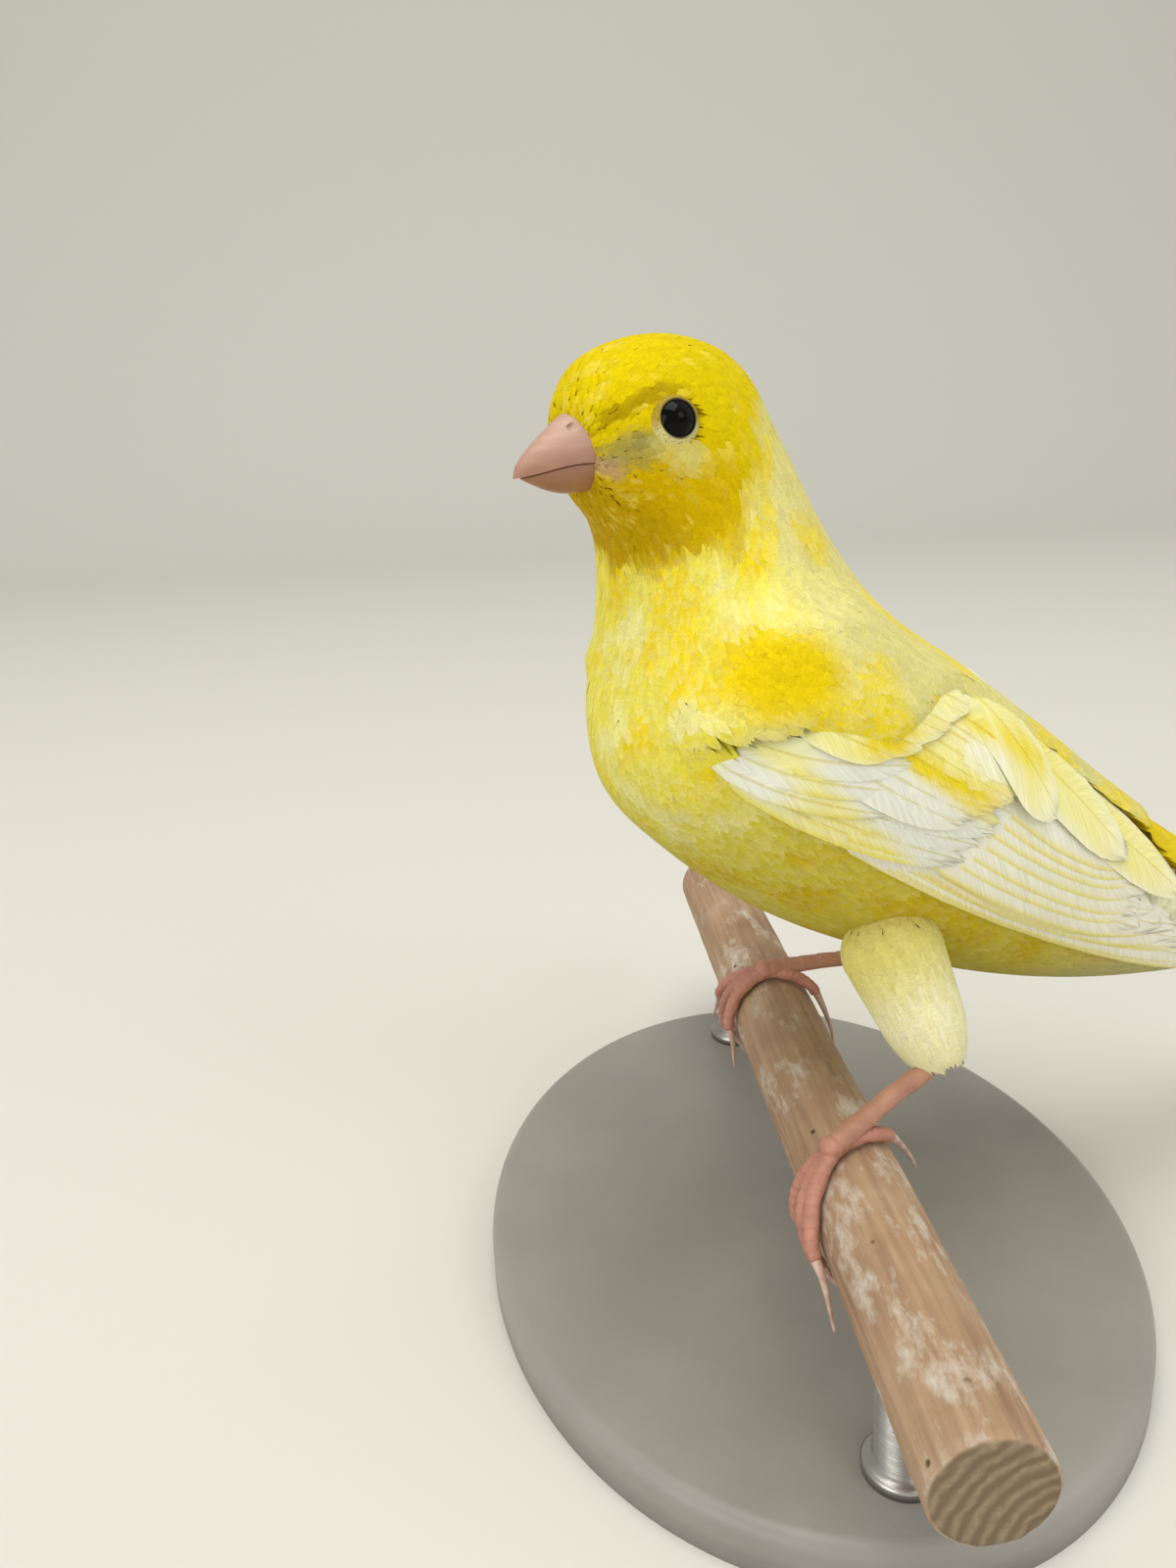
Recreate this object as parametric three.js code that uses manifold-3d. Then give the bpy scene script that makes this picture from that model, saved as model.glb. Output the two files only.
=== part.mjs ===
// A canary gripping a round wooden perch, on a plain display stand, as a still, life-size model.
// Millimetres, +Z up. The origin is the centre of the stand's underside, on the surface it stands on.
// The perch runs along Y. The bird faces -X, turned a little towards -Y, so its left side is at -Y.
import * as THREE from "three";
import { mergeVertices } from "three/addons/utils/BufferGeometryUtils.js";
import Module from "manifold-3d";

const wasm = await Module();
wasm.setup();

const degrees = THREE.MathUtils.degToRad;
const lerp = THREE.MathUtils.lerp;

// Clearance between two pieces that meet.
const gap = 0.3;

// Perch and stand.
const perchRadius = 5;
const perchLength = 112;
const perchHeight = 22;
const perchRim = 0.6;
const perchSides = 28;
const baseLength = 92;
const baseWidth = 72;
const baseThickness = 5;
const baseRound = 1.5;
const baseShoulder = 0.45;
const baseSides = 40;
const rodRadius = 2.5;
const rodSpacing = 76;
const rodSides = 20;

// Pose.
const bodyTurn = degrees(15);
const bodyAside = 3.7;
const headTurn = degrees(18);
const neckAxisX = -13.6;

// The bird's outline in its own upright middle plane, from the face to the undertail. Each station
// is a slice through the body: the point on its back, the point on its underside, and half its
// width. x runs towards the tail and z up, both from the perch's centre line between the feet.
const stations = [
  { top: [-26.8, 69.1], bottom: [-26.8, 69.1], half: 0.0 },
  { top: [-27.5, 73.0], bottom: [-25.4, 64.5], half: 3.6 },
  { top: [-25.7, 76.1], bottom: [-23.5, 62.4], half: 5.4 },
  { top: [-21.4, 77.9], bottom: [-22.2, 60.6], half: 6.9 },
  { top: [-15.6, 78.2], bottom: [-21.8, 58.1], half: 7.8 },
  { top: [-10.3, 76.3], bottom: [-22.0, 55.0], half: 8.5 },
  { top: [-6.2, 70.2], bottom: [-22.7, 50.8], half: 9.8 },
  { top: [-1.5, 61.2], bottom: [-23.9, 44.4], half: 12.5 },
  { top: [4.9, 53.1], bottom: [-22.7, 37.3], half: 14.7 },
  { top: [14.0, 46.3], bottom: [-16.7, 30.3], half: 15.1 },
  { top: [23.1, 39.4], bottom: [-7.8, 23.2], half: 14.3 },
  { top: [32.3, 32.1], bottom: [3.2, 17.2], half: 12.4 },
  { top: [41.0, 25.9], bottom: [15.8, 11.8], half: 10.0 },
  { top: [48.9, 20.7], bottom: [29.8, 7.7], half: 7.7 },
  { top: [55.9, 16.2], bottom: [44.3, 5.3], half: 5.6 },
  { top: [61.6, 11.8], bottom: [56.8, 4.1], half: 3.9 },
  { top: [63.6, 7.0], bottom: [63.6, 7.0], half: 0.0 },
];
const stationCount = stations.length - 1;
const bodySides = 24;
const bodyRings = 40;

// Stations where the neck has turned the head wholly, and not at all.
const neckTurned = 4.6;
const neckStraight = 7.6;

// The first station that the face and the trunk are measured from.
const faceStation = 0.3;
const trunkStation = 4;

// How near to the outline a place on the side may be, as a share of the slice's reach.
const nearEdge = 0.97;

// Cuts that part the body, as places on its back and its underside.
const headCut = { top: [-8.4, 73.4], bottom: [-22.3, 56.8] };
const neckCut = { top: [1.2, 59.7], bottom: [-24.4, 47.5] };
const tailCut = { top: [45.2, 23.8], bottom: [32.7, 7.9] };

// How far the blocks that cut the body reach: past its outline, across it and away from the cut.
const cutOver = 30;
const cutWidth = 80;
const cutDepth = 200;

// Eyes, and the ring of the lids round each.
const eyeRadius = 2.1;
const eyeStation = 3.22;
const eyeAround = degrees(76);
const eyeProud = 0.6;
const eyeSides = 14;
const eyeRings = 8;
const lidRadius = 2.0;
const lidThickness = 0.42;
const lidStretch = 1.1;
const lidSides = 14;

// The bill, from its root inside the face to its tip: a point on its ridge, a point on its keel and
// half its width. The mouth's line parts it, and ends in a groove in the cheek.
const billStations = [
  { top: [-23.5, 68.9], bottom: [-23.5, 68.9], half: 0.0 },
  { top: [-24.1, 72.0], bottom: [-23.5, 65.8], half: 2.8 },
  { top: [-26.6, 72.4], bottom: [-25.4, 65.8], half: 3.0 },
  { top: [-29.1, 71.6], bottom: [-27.9, 65.8], half: 2.5 },
  { top: [-31.2, 70.1], bottom: [-30.2, 66.2], half: 1.6 },
  { top: [-32.5, 68.6], bottom: [-32.0, 66.8], half: 0.8 },
  { top: [-33.0, 67.3], bottom: [-33.0, 67.3], half: 0.0 },
];
const billSides = 14;
const billRings = 11;
const mouthFront = [-33.9, 67.1];
const mouthBack = [-22.8, 68.5];
const mouthOver = 4;
const gapeFront = [-26.15, 68.1];
const gapeMiddle = [-25.1, 67.8];
const gapeBack = [-24.0, 67.5];
const gapeRadius = 0.42;
const nostrilRadius = 0.38;
const nostrilStation = 2.6;
const nostrilAround = degrees(38);

// A vane's form from above: how many strips wide it is, and its width at shares of its length.
const longVane = {
  across: 1,
  shares: [0, 0.2, 0.4, 0.6, 0.8, 0.94, 1],
  widths: [0.6, 0.9, 1, 1, 0.94, 0.6, 0.14],
};
const broadVane = {
  across: 2,
  shares: [0, 0.28, 0.56, 0.8, 0.95, 1],
  widths: [0.7, 0.95, 1, 0.96, 0.64, 0.2],
};
const narrowVane = { across: 1, shares: [0, 0.35, 0.7, 0.92, 1], widths: [0.7, 0.95, 1, 0.7, 0.2] };
const shortVane = { across: 2, shares: [0, 0.32, 0.66, 0.9, 1], widths: [0.7, 0.95, 1, 0.74, 0.2] };
const tailVane = { across: 2, shares: [0, 0.45, 0.75, 0.93, 1], widths: [0.6, 0.85, 1, 0.86, 0.3] };

// Wings, folded. Each tier of feathers runs from its outermost to its innermost one, as places seen
// from the side: the roots and the tips of those two, how broad a vane is, how far it bows upwards,
// how high over the body it lies, and its form. The lowest tier comes first.
const wingTiers = [
  // Primaries, out to the wing's tip.
  {
    count: 6,
    roots: [[-14.6, 40.6], [0.5, 35.6]],
    tips: [[50.3, 6.5], [35.6, 17.8]],
    broad: [4.4, 6.2],
    bow: -1.7,
    lift: [0.85, 1.55],
    form: longVane,
  },
  // Secondaries.
  {
    count: 5,
    roots: [[-6.0, 39.4], [4.0, 43.0]],
    tips: [[32.2, 17.6], [30.6, 25.8]],
    broad: [5.2, 5.8],
    bow: -0.9,
    lift: [1.65, 2.1],
    form: longVane,
  },
  // Tertials: broad and round, the shortest of them up beside the spine.
  {
    count: 3,
    roots: [[-1.0, 48.6], [5.0, 50.5]],
    tips: [[38.6, 19.0], [16.3, 33.6]],
    broad: [6.8, 7.8],
    bow: 0.9,
    lift: [2.2, 2.9],
    form: broadVane,
  },
  // Primary coverts, below the wrist.
  {
    count: 2,
    roots: [[-17.6, 43.0], [-12.0, 43.4]],
    tips: [[4.4, 31.4], [7.0, 34.0]],
    broad: [3.4, 4.0],
    bow: -0.5,
    lift: [1.7, 2.0],
    form: narrowVane,
  },
  // Greater coverts, over the roots of the secondaries.
  {
    count: 5,
    roots: [[-14.6, 44.6], [-2.6, 50.4]],
    tips: [[1.6, 35.0], [16.0, 37.4]],
    broad: [5.6, 6.2],
    bow: -0.4,
    lift: [2.3, 2.8],
    form: shortVane,
  },
  // Median coverts, over the roots of the greater ones.
  {
    count: 4,
    roots: [[-16.8, 46.2], [-6.6, 52.2]],
    tips: [[-7.4, 40.8], [6.4, 44.6]],
    broad: [6.0, 6.6],
    bow: -0.2,
    lift: [2.75, 3.15],
    form: shortVane,
  },
  // Lesser coverts, on the shoulder.
  {
    count: 3,
    roots: [[-19.4, 49.0], [-11.6, 54.6]],
    tips: [[-11.2, 44.6], [-1.8, 49.6]],
    broad: [6.8, 7.4],
    bow: 0,
    lift: [3.2, 3.5],
    form: shortVane,
  },
];

// How thick a vane is at its shaft and at its edges, how far its outer edge is raised over the next
// feather, and how far its root goes down into the body, on what curve.
const vaneThickness = 0.9;
const vaneEdge = 0.5;
const shingle = 0.22;
const rootDepth = 0.6;
const rootCurve = 5;

// The form that a wing's underside is cut to: the body's, with fewer faces and lifted to clear it.
const bedLift = 0.6;
const bedSides = 16;
const bedRings = 26;

// Beside the spine the wing lies deeper in the back: how much, and from how far up the side.
const spineDrop = 1.7;
const spineNear = 0.3;

// Tail: twelve feathers, closed. The root and the tip of the middle pair, as places seen from the
// side, and for the middle and the outermost feather how far it is from the middle plane. The
// outermost is longer, and lies lower.
const tailRoot = [42.3, 19.1];
const tailTip = [82.0, -5.0];
const tailPairs = 6;
const tailRootAside = [0.9, 3.4];
const tailTipAside = [1.9, 5.2];
const tailLonger = 3.2;
const tailDrop = 2.2;
const tailStagger = 0.1;
const tailBroad = 5.4;

// Legs and feet, in the perch's own frame.
const left = -1;
const right = 1;
const legs = {
  left: { hip: [5.0, -13.0, 23.5], heel: [9.6, -17.0, 10.7], footY: -23.5, footTurn: 25, drift: -0.42 },
  right: { hip: [13.5, 5.6, 20.0], heel: [12.2, 13.5, 6.9], footY: 12.5, footTurn: 10, drift: 0.2 },
};
const padHeight = 6.4;
const padRadius = 1.3;
const tarsusRadius = 0.95;
const tarsusEnd = 0.35;
const trouserTop = 5.2;
const trouserEnd = 3.4;
const trouserOver = 1.6;
const trouserRound = 0.7;
const trouserSides = 14;
const tarsusSides = 8;
const tarsusRings = 6;

// Toes: how far each runs round the perch before its claw starts and how far the claw goes on, in
// degrees, forwards from where the foot sits. outward is how far it splays away from the bird for
// each millimetre that it runs.
const toes = [
  { reach: 104, claw: 46, outward: 0 },
  { reach: 74, claw: 40, outward: 0.46 },
  { reach: 84, claw: 40, outward: -0.42 },
  { reach: -66, claw: -60, outward: 0 },
];
const toeRadius = 0.82;
const toeEndRadius = 0.66;
const clawRadius = 0.52;
const clawTipRadius = 0.16;
const clawLift = 1.7;
const clawDip = 0.25;
const toeSteps = 9;
const toeSides = 6;
const toeRings = 10;

// A point of the middle plane as a vector.
const inPlane = ([x, z]) => new THREE.Vector3(x, 0, z);

// A curve through one value of every station.
const through = (list, pick) =>
  new THREE.CatmullRomCurve3(list.map(pick), false, "centripetal");

// The slices of a row of stations, at any station number.
function slicer(list) {
  const topLine = through(list, (s) => new THREE.Vector3(s.top[0], s.half, s.top[1]));
  const bottomLine = through(list, (s) => new THREE.Vector3(s.bottom[0], s.half, s.bottom[1]));
  return (station) => {
    const t = THREE.MathUtils.clamp(station / (list.length - 1), 0, 1);
    const top = topLine.getPoint(t);
    const bottom = bottomLine.getPoint(t);
    const half = (top.y + bottom.y) / 2;
    const middle = new THREE.Vector3((top.x + bottom.x) / 2, 0, (top.z + bottom.z) / 2);
    const up = new THREE.Vector3(top.x - bottom.x, 0, top.z - bottom.z);
    const reach = up.length() / 2;
    return { middle, up: up.normalize(), reach, half };
  };
}

const bodySlice = slicer(stations);
const billSlice = slicer(billStations);

// The point of a slice at an angle from its top, lifted off the surface. Positive angles go round
// the bird's left side.
function onSlice({ middle, up, reach, half }, around, lift) {
  const point = middle.clone().addScaledVector(up, Math.cos(around) * reach);
  point.y -= Math.sin(around) * half;
  if (reach < 0.01) return point;
  const out = up.clone().multiplyScalar(Math.cos(around) / reach);
  out.y -= Math.sin(around) / Math.max(half, 0.01);
  return point.addScaledVector(out.normalize(), lift);
}

// A point with the neck's turn put in.
function turned(point, angle) {
  const offset = new THREE.Vector3(point.x - neckAxisX, point.y, point.z);
  offset.applyAxisAngle(new THREE.Vector3(0, 0, 1), angle);
  offset.x += neckAxisX;
  return offset;
}

// How far the neck has turned a station.
function turnAt(station) {
  return headTurn * (1 - THREE.MathUtils.smoothstep(station, neckTurned, neckStraight));
}

// Moves every vertex of a geometry.
function reshape(geometry, move) {
  const position = geometry.attributes.position;
  for (let i = 0; i < position.count; i++) {
    const moved = move(new THREE.Vector3().fromBufferAttribute(position, i), i);
    position.setXYZ(i, moved.x, moved.y, moved.z);
  }
  return geometry;
}

// A closed skin over slices, from a sphere whose poles are the first and last slice.
function loft(slice, count, sides, rings, extra, place) {
  return reshape(new THREE.SphereGeometry(1, sides, rings), (_, i) => {
    const ring = Math.floor(i / (sides + 1));
    const around = (2 * Math.PI * (i % (sides + 1))) / sides;
    const station = (ring / rings) * count;
    return place(onSlice(slice(station), around, extra), station);
  });
}

// A closed tube along a curve, its radius given along its length.
function tube(points, radiusAt, sides, rings) {
  const curve = new THREE.CatmullRomCurve3(points, false, "centripetal");
  const frames = curve.computeFrenetFrames(rings);
  return reshape(new THREE.SphereGeometry(1, sides, rings), (_, i) => {
    const ring = Math.floor(i / (sides + 1));
    const around = (2 * Math.PI * (i % (sides + 1))) / sides;
    const t = ring / rings;
    const radius = ring === 0 || ring === rings ? 0 : radiusAt(t);
    return curve
      .getPointAt(t)
      .addScaledVector(frames.normals[ring], Math.cos(around) * radius)
      .addScaledVector(frames.binormals[ring], Math.sin(around) * radius);
  });
}

// The manifold solid of a closed geometry.
function solid(geometry) {
  const bare = geometry.clone();
  bare.deleteAttribute("normal");
  bare.deleteAttribute("uv");
  const merged = mergeVertices(bare, 1e-4);
  const vertProperties = new Float32Array(merged.attributes.position.array);
  const triVerts = new Uint32Array(merged.index.array);
  const build = () => new wasm.Manifold(new wasm.Mesh({ numProp: 3, vertProperties, triVerts }));
  const made = build();
  if (made.volume() > 0) return made;
  // The faces pointed in, so every triangle is turned over.
  for (let i = 0; i < triVerts.length; i += 3) {
    [triVerts[i], triVerts[i + 1]] = [triVerts[i + 1], triVerts[i]];
  }
  return build();
}

// The largest closed surface of a solid, as a geometry.
function largest(made) {
  const pieces = made.decompose();
  pieces.sort((a, b) => b.volume() - a.volume());
  const mesh = pieces[0].getMesh();
  const geometry = new THREE.BufferGeometry();
  geometry.setAttribute("position", new THREE.BufferAttribute(mesh.vertProperties, 3));
  geometry.setIndex(new THREE.BufferAttribute(mesh.triVerts, 1));
  geometry.computeVertexNormals();
  return geometry;
}

const joined = (parts) => parts.reduce((all, part) => all.add(part));

// A slab across the middle plane, along a line from one place to another and over both its ends,
// raised above the line.
function slab(from, to, over, thickness, raised) {
  const a = inPlane(from);
  const b = inPlane(to);
  const geometry = new THREE.BoxGeometry(a.distanceTo(b) + 2 * over, cutWidth, thickness);
  geometry.translate(0, 0, raised);
  geometry.rotateY(-Math.atan2(b.z - a.z, b.x - a.x));
  const centre = a.add(b).multiplyScalar(0.5);
  return geometry.translate(centre.x, centre.y, centre.z);
}

// All that lies on one side of a cut, and half the clearance beyond it. ahead is 1 for the head's
// side and -1 for the tail's.
const block = ({ top, bottom }, ahead) =>
  solid(slab(bottom, top, cutOver, cutDepth, (ahead * (cutDepth - gap)) / 2));

const placeBody = (point, station) => turned(point, turnAt(station));
const placeHead = (point) => turned(point, headTurn);

// Where on the body's side the place (x, z) is seen from the side: its station, and how far up the
// slice it is, from -1 at the underside to 1 at the back.
function sideAt(x, z, first = trunkStation) {
  let low = first;
  let high = stationCount - 0.5;
  for (let step = 0; step < 24; step++) {
    const station = (low + high) / 2;
    const { middle, up } = bodySlice(station);
    const ahead = (x - middle.x) * up.z - (z - middle.z) * up.x;
    if (ahead > 0) low = station;
    else high = station;
  }
  const { middle, up, reach } = bodySlice(low);
  const height = ((x - middle.x) * up.x + (z - middle.z) * up.z) / reach;
  return { station: low, height: THREE.MathUtils.clamp(height, -nearEdge, nearEdge) };
}

// That point itself, lifted off the surface.
function onSide({ station, height }, lift, side) {
  return placeBody(onSlice(bodySlice(station), -side * Math.acos(height), lift), station);
}

const model = new THREE.Group();
const perchFrame = new THREE.Group();
perchFrame.position.z = perchHeight;
const bird = new THREE.Group();
bird.rotation.z = bodyTurn;
bird.position.set(Math.sin(bodyTurn) * bodyAside, -Math.cos(bodyTurn) * bodyAside, 0);
perchFrame.add(bird);
model.add(perchFrame);

function add(group, name, geometry, colour, roughness, metalness = 0) {
  const material = new THREE.MeshStandardMaterial({ color: colour, roughness, metalness });
  const mesh = new THREE.Mesh(geometry, material);
  mesh.name = name;
  group.add(mesh);
  return mesh;
}

const bodyLoft = (extra, sides = bodySides, rings = bodyRings) =>
  solid(loft(bodySlice, stationCount, sides, rings, extra, placeBody));
const billLoft = (extra) =>
  solid(loft(billSlice, billStations.length - 1, billSides, billRings, extra, placeHead));

// Where an eye's ball is: its centre and the way it looks out.
function eyePlace(side) {
  const place = (lift) => placeHead(onSlice(bodySlice(eyeStation), -side * eyeAround, lift));
  const out = place(1).sub(place(0)).normalize();
  return { skin: place(0), centre: place(eyeProud - eyeRadius), out };
}

// Sets a shape made round the Z axis into a place, facing out of the head.
function facing(geometry, centre, out) {
  const turn = new THREE.Quaternion().setFromUnitVectors(new THREE.Vector3(0, 0, 1), out);
  return geometry.applyQuaternion(turn).translate(centre.x, centre.y, centre.z);
}

function eyeBall(side, radius) {
  const { centre, out } = eyePlace(side);
  return facing(new THREE.SphereGeometry(radius, eyeSides, eyeRings).rotateX(Math.PI / 2), centre, out);
}

// The two lids, as the ring that they make round the open eye.
function lids(side) {
  const { skin, out } = eyePlace(side);
  const ring = new THREE.TorusGeometry(lidRadius, lidThickness, 5, lidSides).scale(lidStretch, 1, 1);
  return facing(ring, skin, out);
}

// The body, parted into head, neck, torso and rump.
const body = bodyLoft(0);
const neck = body.subtract(block(headCut, 1)).subtract(block(neckCut, -1));
const torso = body.subtract(block(neckCut, 1)).subtract(block(tailCut, -1));
const rump = body.subtract(block(tailCut, 1));
const billSocket = billLoft(gap);
let head = body.subtract(block(headCut, -1));
head = head.subtract(billSocket).subtract(billSocket.translate([gap, 0, 0]));

for (const [side, name] of [[left, "eye_left"], [right, "eye_right"]]) {
  add(bird, name, eyeBall(side, eyeRadius), 0x0a0908, 0.1);
  head = head.add(solid(lids(side))).subtract(solid(eyeBall(side, eyeRadius + gap)));
  // The corner of the mouth, as a groove from the bill's edge back over the cheek.
  const gape = [gapeFront, gapeMiddle, gapeBack].map(([x, z]) =>
    onSide(sideAt(x, z, faceStation), 0, side),
  );
  head = head.subtract(solid(tube(gape, () => gapeRadius, 6, 4)));
}

add(bird, "head", largest(head), 0xf2dd10, 0.8);
add(bird, "neck", largest(neck), 0xf0e060, 0.8);
add(bird, "torso", largest(torso), 0xefe070, 0.8);

// Bill: parted along the mouth.
const bill = billLoft(0);
const mouth = solid(reshape(slab(mouthFront, mouthBack, mouthOver, gap, 0), placeHead));
const mandibles = bill.subtract(mouth).decompose();
mandibles.sort((a, b) => b.boundingBox().max[2] - a.boundingBox().max[2]);
const nostrils = [left, right].map((side) => {
  const at = placeHead(onSlice(billSlice(nostrilStation), -side * nostrilAround, 0));
  return solid(new THREE.SphereGeometry(nostrilRadius, 6, 4).translate(at.x, at.y, at.z));
});
const billUpper = nostrils.reduce((all, hole) => all.subtract(hole), mandibles[0]);
add(bird, "bill_upper", largest(billUpper), 0xd9aa9c, 0.5);
add(bird, "bill_lower", largest(mandibles[1]), 0xc79a84, 0.5);

// A closed plate between two faces, at(u, v, outer) giving each point for u and v from 0 to 1.
// Both faces are split into triangles alike.
function plate(across, along, at) {
  const points = [];
  const index = [];
  const row = across + 1;
  const face = row * (along + 1);
  for (const outer of [true, false]) {
    for (let i = 0; i <= along; i++) {
      for (let j = 0; j <= across; j++) points.push(at(i / along, j / across, outer));
    }
  }
  for (let i = 0; i < along; i++) {
    for (let j = 0; j < across; j++) {
      const a = i * row + j;
      index.push(a, a + 1, a + row + 1, a, a + row + 1, a + row);
      const b = a + face;
      index.push(b, b + row + 1, b + 1, b, b + row, b + row + 1);
    }
  }
  const rim = [];
  for (let j = 0; j < across; j++) rim.push(j);
  for (let i = 0; i < along; i++) rim.push(i * row + across);
  for (let j = across; j > 0; j--) rim.push(along * row + j);
  for (let i = along; i > 0; i--) rim.push(i * row);
  rim.forEach((a, k) => {
    const b = rim[(k + 1) % rim.length];
    index.push(a, a + face, b + face, a, b + face, b);
  });
  const geometry = new THREE.BufferGeometry().setFromPoints(points);
  geometry.setIndex(index);
  return geometry;
}

// A feather's vane, tapered to a round tip and thickest along its shaft. place(u, w, thick) gives
// its points: u from root to tip, w across it from -1 to 1, thick up from its middle.
function vane({ across, shares, widths }, place) {
  const rows = shares.length - 1;
  return solid(
    plate(across, rows, (u, v, outer) => {
      const row = Math.round(u * rows);
      const w = (2 * v - 1) * widths[row];
      const thick = lerp(vaneThickness, vaneEdge, Math.abs(2 * v - 1)) / 2;
      return place(shares[row], w, outer ? thick : -thick);
    }),
  );
}

// A folded wing: its tiers, fused, and clear of the body.
const bodyGrown = bodyLoft(gap);
const wingBed = bodyLoft(bedLift, bedSides, bedRings);
function wing(side) {
  const vanes = [];
  for (const { count, roots, tips, broad, bow, lift, form } of wingTiers) {
    for (let k = 0; k < count; k++) {
      const share = k / (count - 1);
      const root = inPlane(roots[0]).lerp(inPlane(roots[1]), share);
      const tip = inPlane(tips[0]).lerp(inPlane(tips[1]), share);
      const along = tip.clone().sub(root).normalize();
      const up = new THREE.Vector3(-along.z, 0, along.x);
      const half = lerp(broad[0], broad[1], share) / 2;
      const height = lerp(lift[0], lift[1], share);
      vanes.push(
        vane(form, (u, w, thick) => {
          const point = root.clone().lerp(tip, u);
          point.addScaledVector(up, w * half + bow * Math.sin(Math.PI * u));
          const sunk = (height + rootDepth) * (1 - u) ** rootCurve;
          const at = sideAt(point.x, point.z);
          const flat = spineDrop * THREE.MathUtils.smoothstep(at.height, spineNear, nearEdge);
          return onSide(at, height - flat - sunk - shingle * w + thick, side);
        }),
      );
    }
  }
  return joined(vanes).subtract(wingBed);
}
add(bird, "wing_left", largest(wing(left)), 0xf4f0c0, 0.6);
add(bird, "wing_right", largest(wing(right)), 0xf4f0c0, 0.6);

// The tail's feathers, fused into the end of the rump. The middle pair lies on top.
function tailFeathers() {
  const root = inPlane(tailRoot);
  const along = inPlane(tailTip).sub(root).normalize();
  const up = new THREE.Vector3(-along.z, 0, along.x);
  const length = root.distanceTo(inPlane(tailTip));
  const vanes = [];
  for (const side of [left, right]) {
    for (let k = 0; k < tailPairs; k++) {
      const share = k / (tailPairs - 1);
      const rootAside = lerp(tailRootAside[0], tailRootAside[1], share);
      const tipAside = lerp(tailTipAside[0], tailTipAside[1], share);
      const drop = tailDrop * share + (side === left ? tailStagger : 0);
      vanes.push(
        vane(tailVane, (u, w, thick) => {
          const point = root.clone().addScaledVector(along, u * (length + tailLonger * share));
          point.y = side * (lerp(rootAside, tipAside, u) - (w * tailBroad) / 2);
          return point.addScaledVector(up, thick - drop + shingle * w);
        }),
      );
    }
  }
  return joined(vanes);
}
add(bird, "tail", largest(rump.add(tailFeathers())), 0xf0e890, 0.7);

// Legs: trousers of feathers from the body to the heel, the bare tarsus, and a foot of four toes.
bird.updateMatrix();
const bodyInPerchFrame = bodyGrown.transform(bird.matrix.elements);

// A point beside the perch: an angle forwards from its top, a distance from its axis, a place along.
function roundPerch(angle, distance, y) {
  return new THREE.Vector3(-Math.sin(angle) * distance, y, Math.cos(angle) * distance);
}

// A toe and its claw, wound round the perch.
function toeSolid({ reach, claw, outward }, { footY, footTurn, drift }, side) {
  const share = reach / (reach + claw);
  const inner = perchRadius + gap + toeRadius;
  const points = [];
  for (let k = 0; k <= toeSteps; k++) {
    const t = k / toeSteps;
    const run = degrees((reach + claw) * t);
    const past = Math.max(0, (t - share) / (1 - share));
    const splay = (drift + side * outward * Math.sign(run)) * run * inner;
    const distance = inner + clawLift * past * past - clawDip * Math.sin(Math.PI * past);
    points.push(roundPerch(degrees(footTurn) + run, distance, footY + splay));
  }
  const radiusAt = (t) =>
    t < share
      ? lerp(toeRadius, toeEndRadius, t / share)
      : lerp(clawRadius, clawTipRadius, (t - share) / (1 - share));
  return solid(tube(points, radiusAt, toeSides, toeRings));
}

// A solid grown by the clearance, near enough for a small piece.
function grown(made) {
  const shifts = [[gap, 0, 0], [-gap, 0, 0], [0, gap, 0], [0, -gap, 0], [0, 0, gap], [0, 0, -gap]];
  return joined(shifts.map((shift) => made.translate(shift)));
}

function leg(name, side) {
  const { hip, heel, footY, footTurn } = legs[name];
  const top = new THREE.Vector3(...hip);
  const bend = new THREE.Vector3(...heel);
  const pad = roundPerch(degrees(footTurn), padHeight, footY);
  const down = bend.clone().sub(top).normalize();
  const trouserPath = [top, bend.clone().addScaledVector(down, trouserOver)];
  const trouserRadius = (t) => {
    const past = Math.max(0, (t - trouserRound) / (1 - trouserRound));
    return lerp(trouserTop, trouserEnd, t) * Math.sqrt(1 - trouserRound * past * past);
  };
  const trousers = solid(tube(trouserPath, trouserRadius, trouserSides, 9));
  const tarsusPath = [bend, pad];
  const tarsusShape = (extra) => {
    const radiusAt = (t) => tarsusRadius + tarsusEnd * (2 * t - 1) ** 4 + extra;
    return solid(tube(tarsusPath, radiusAt, tarsusSides, tarsusRings));
  };
  const ball = solid(new THREE.SphereGeometry(padRadius, 10, 6).translate(pad.x, pad.y, pad.z));
  const wound = toes.map((toe) => toeSolid(toe, legs[name], side));
  const foot = joined([ball, ...wound]).subtract(perchGrown);
  const thigh = trousers.subtract(bodyInPerchFrame).subtract(tarsusShape(gap));
  const tarsus = tarsusShape(0).subtract(grown(foot));
  add(perchFrame, `thigh_${name}`, largest(thigh), 0xf2eca0, 0.8);
  add(perchFrame, `tarsus_${name}`, largest(tarsus), 0xd99a84, 0.6);
  add(perchFrame, `foot_${name}`, largest(foot), 0xd99a84, 0.6);
}

// Perch and stand.
const perchProfile = (extra) => [
  new THREE.Vector2(0, -perchLength / 2),
  new THREE.Vector2(perchRadius + extra - perchRim, -perchLength / 2),
  new THREE.Vector2(perchRadius + extra, -perchLength / 2 + perchRim),
  new THREE.Vector2(perchRadius + extra, perchLength / 2 - perchRim),
  new THREE.Vector2(perchRadius + extra - perchRim, perchLength / 2),
  new THREE.Vector2(0, perchLength / 2),
];
const perchGrown = solid(new THREE.LatheGeometry(perchProfile(gap), perchSides));
add(perchFrame, "perch", new THREE.LatheGeometry(perchProfile(0), perchSides), 0xc8a27c, 0.8);
leg("left", left);
leg("right", right);

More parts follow.
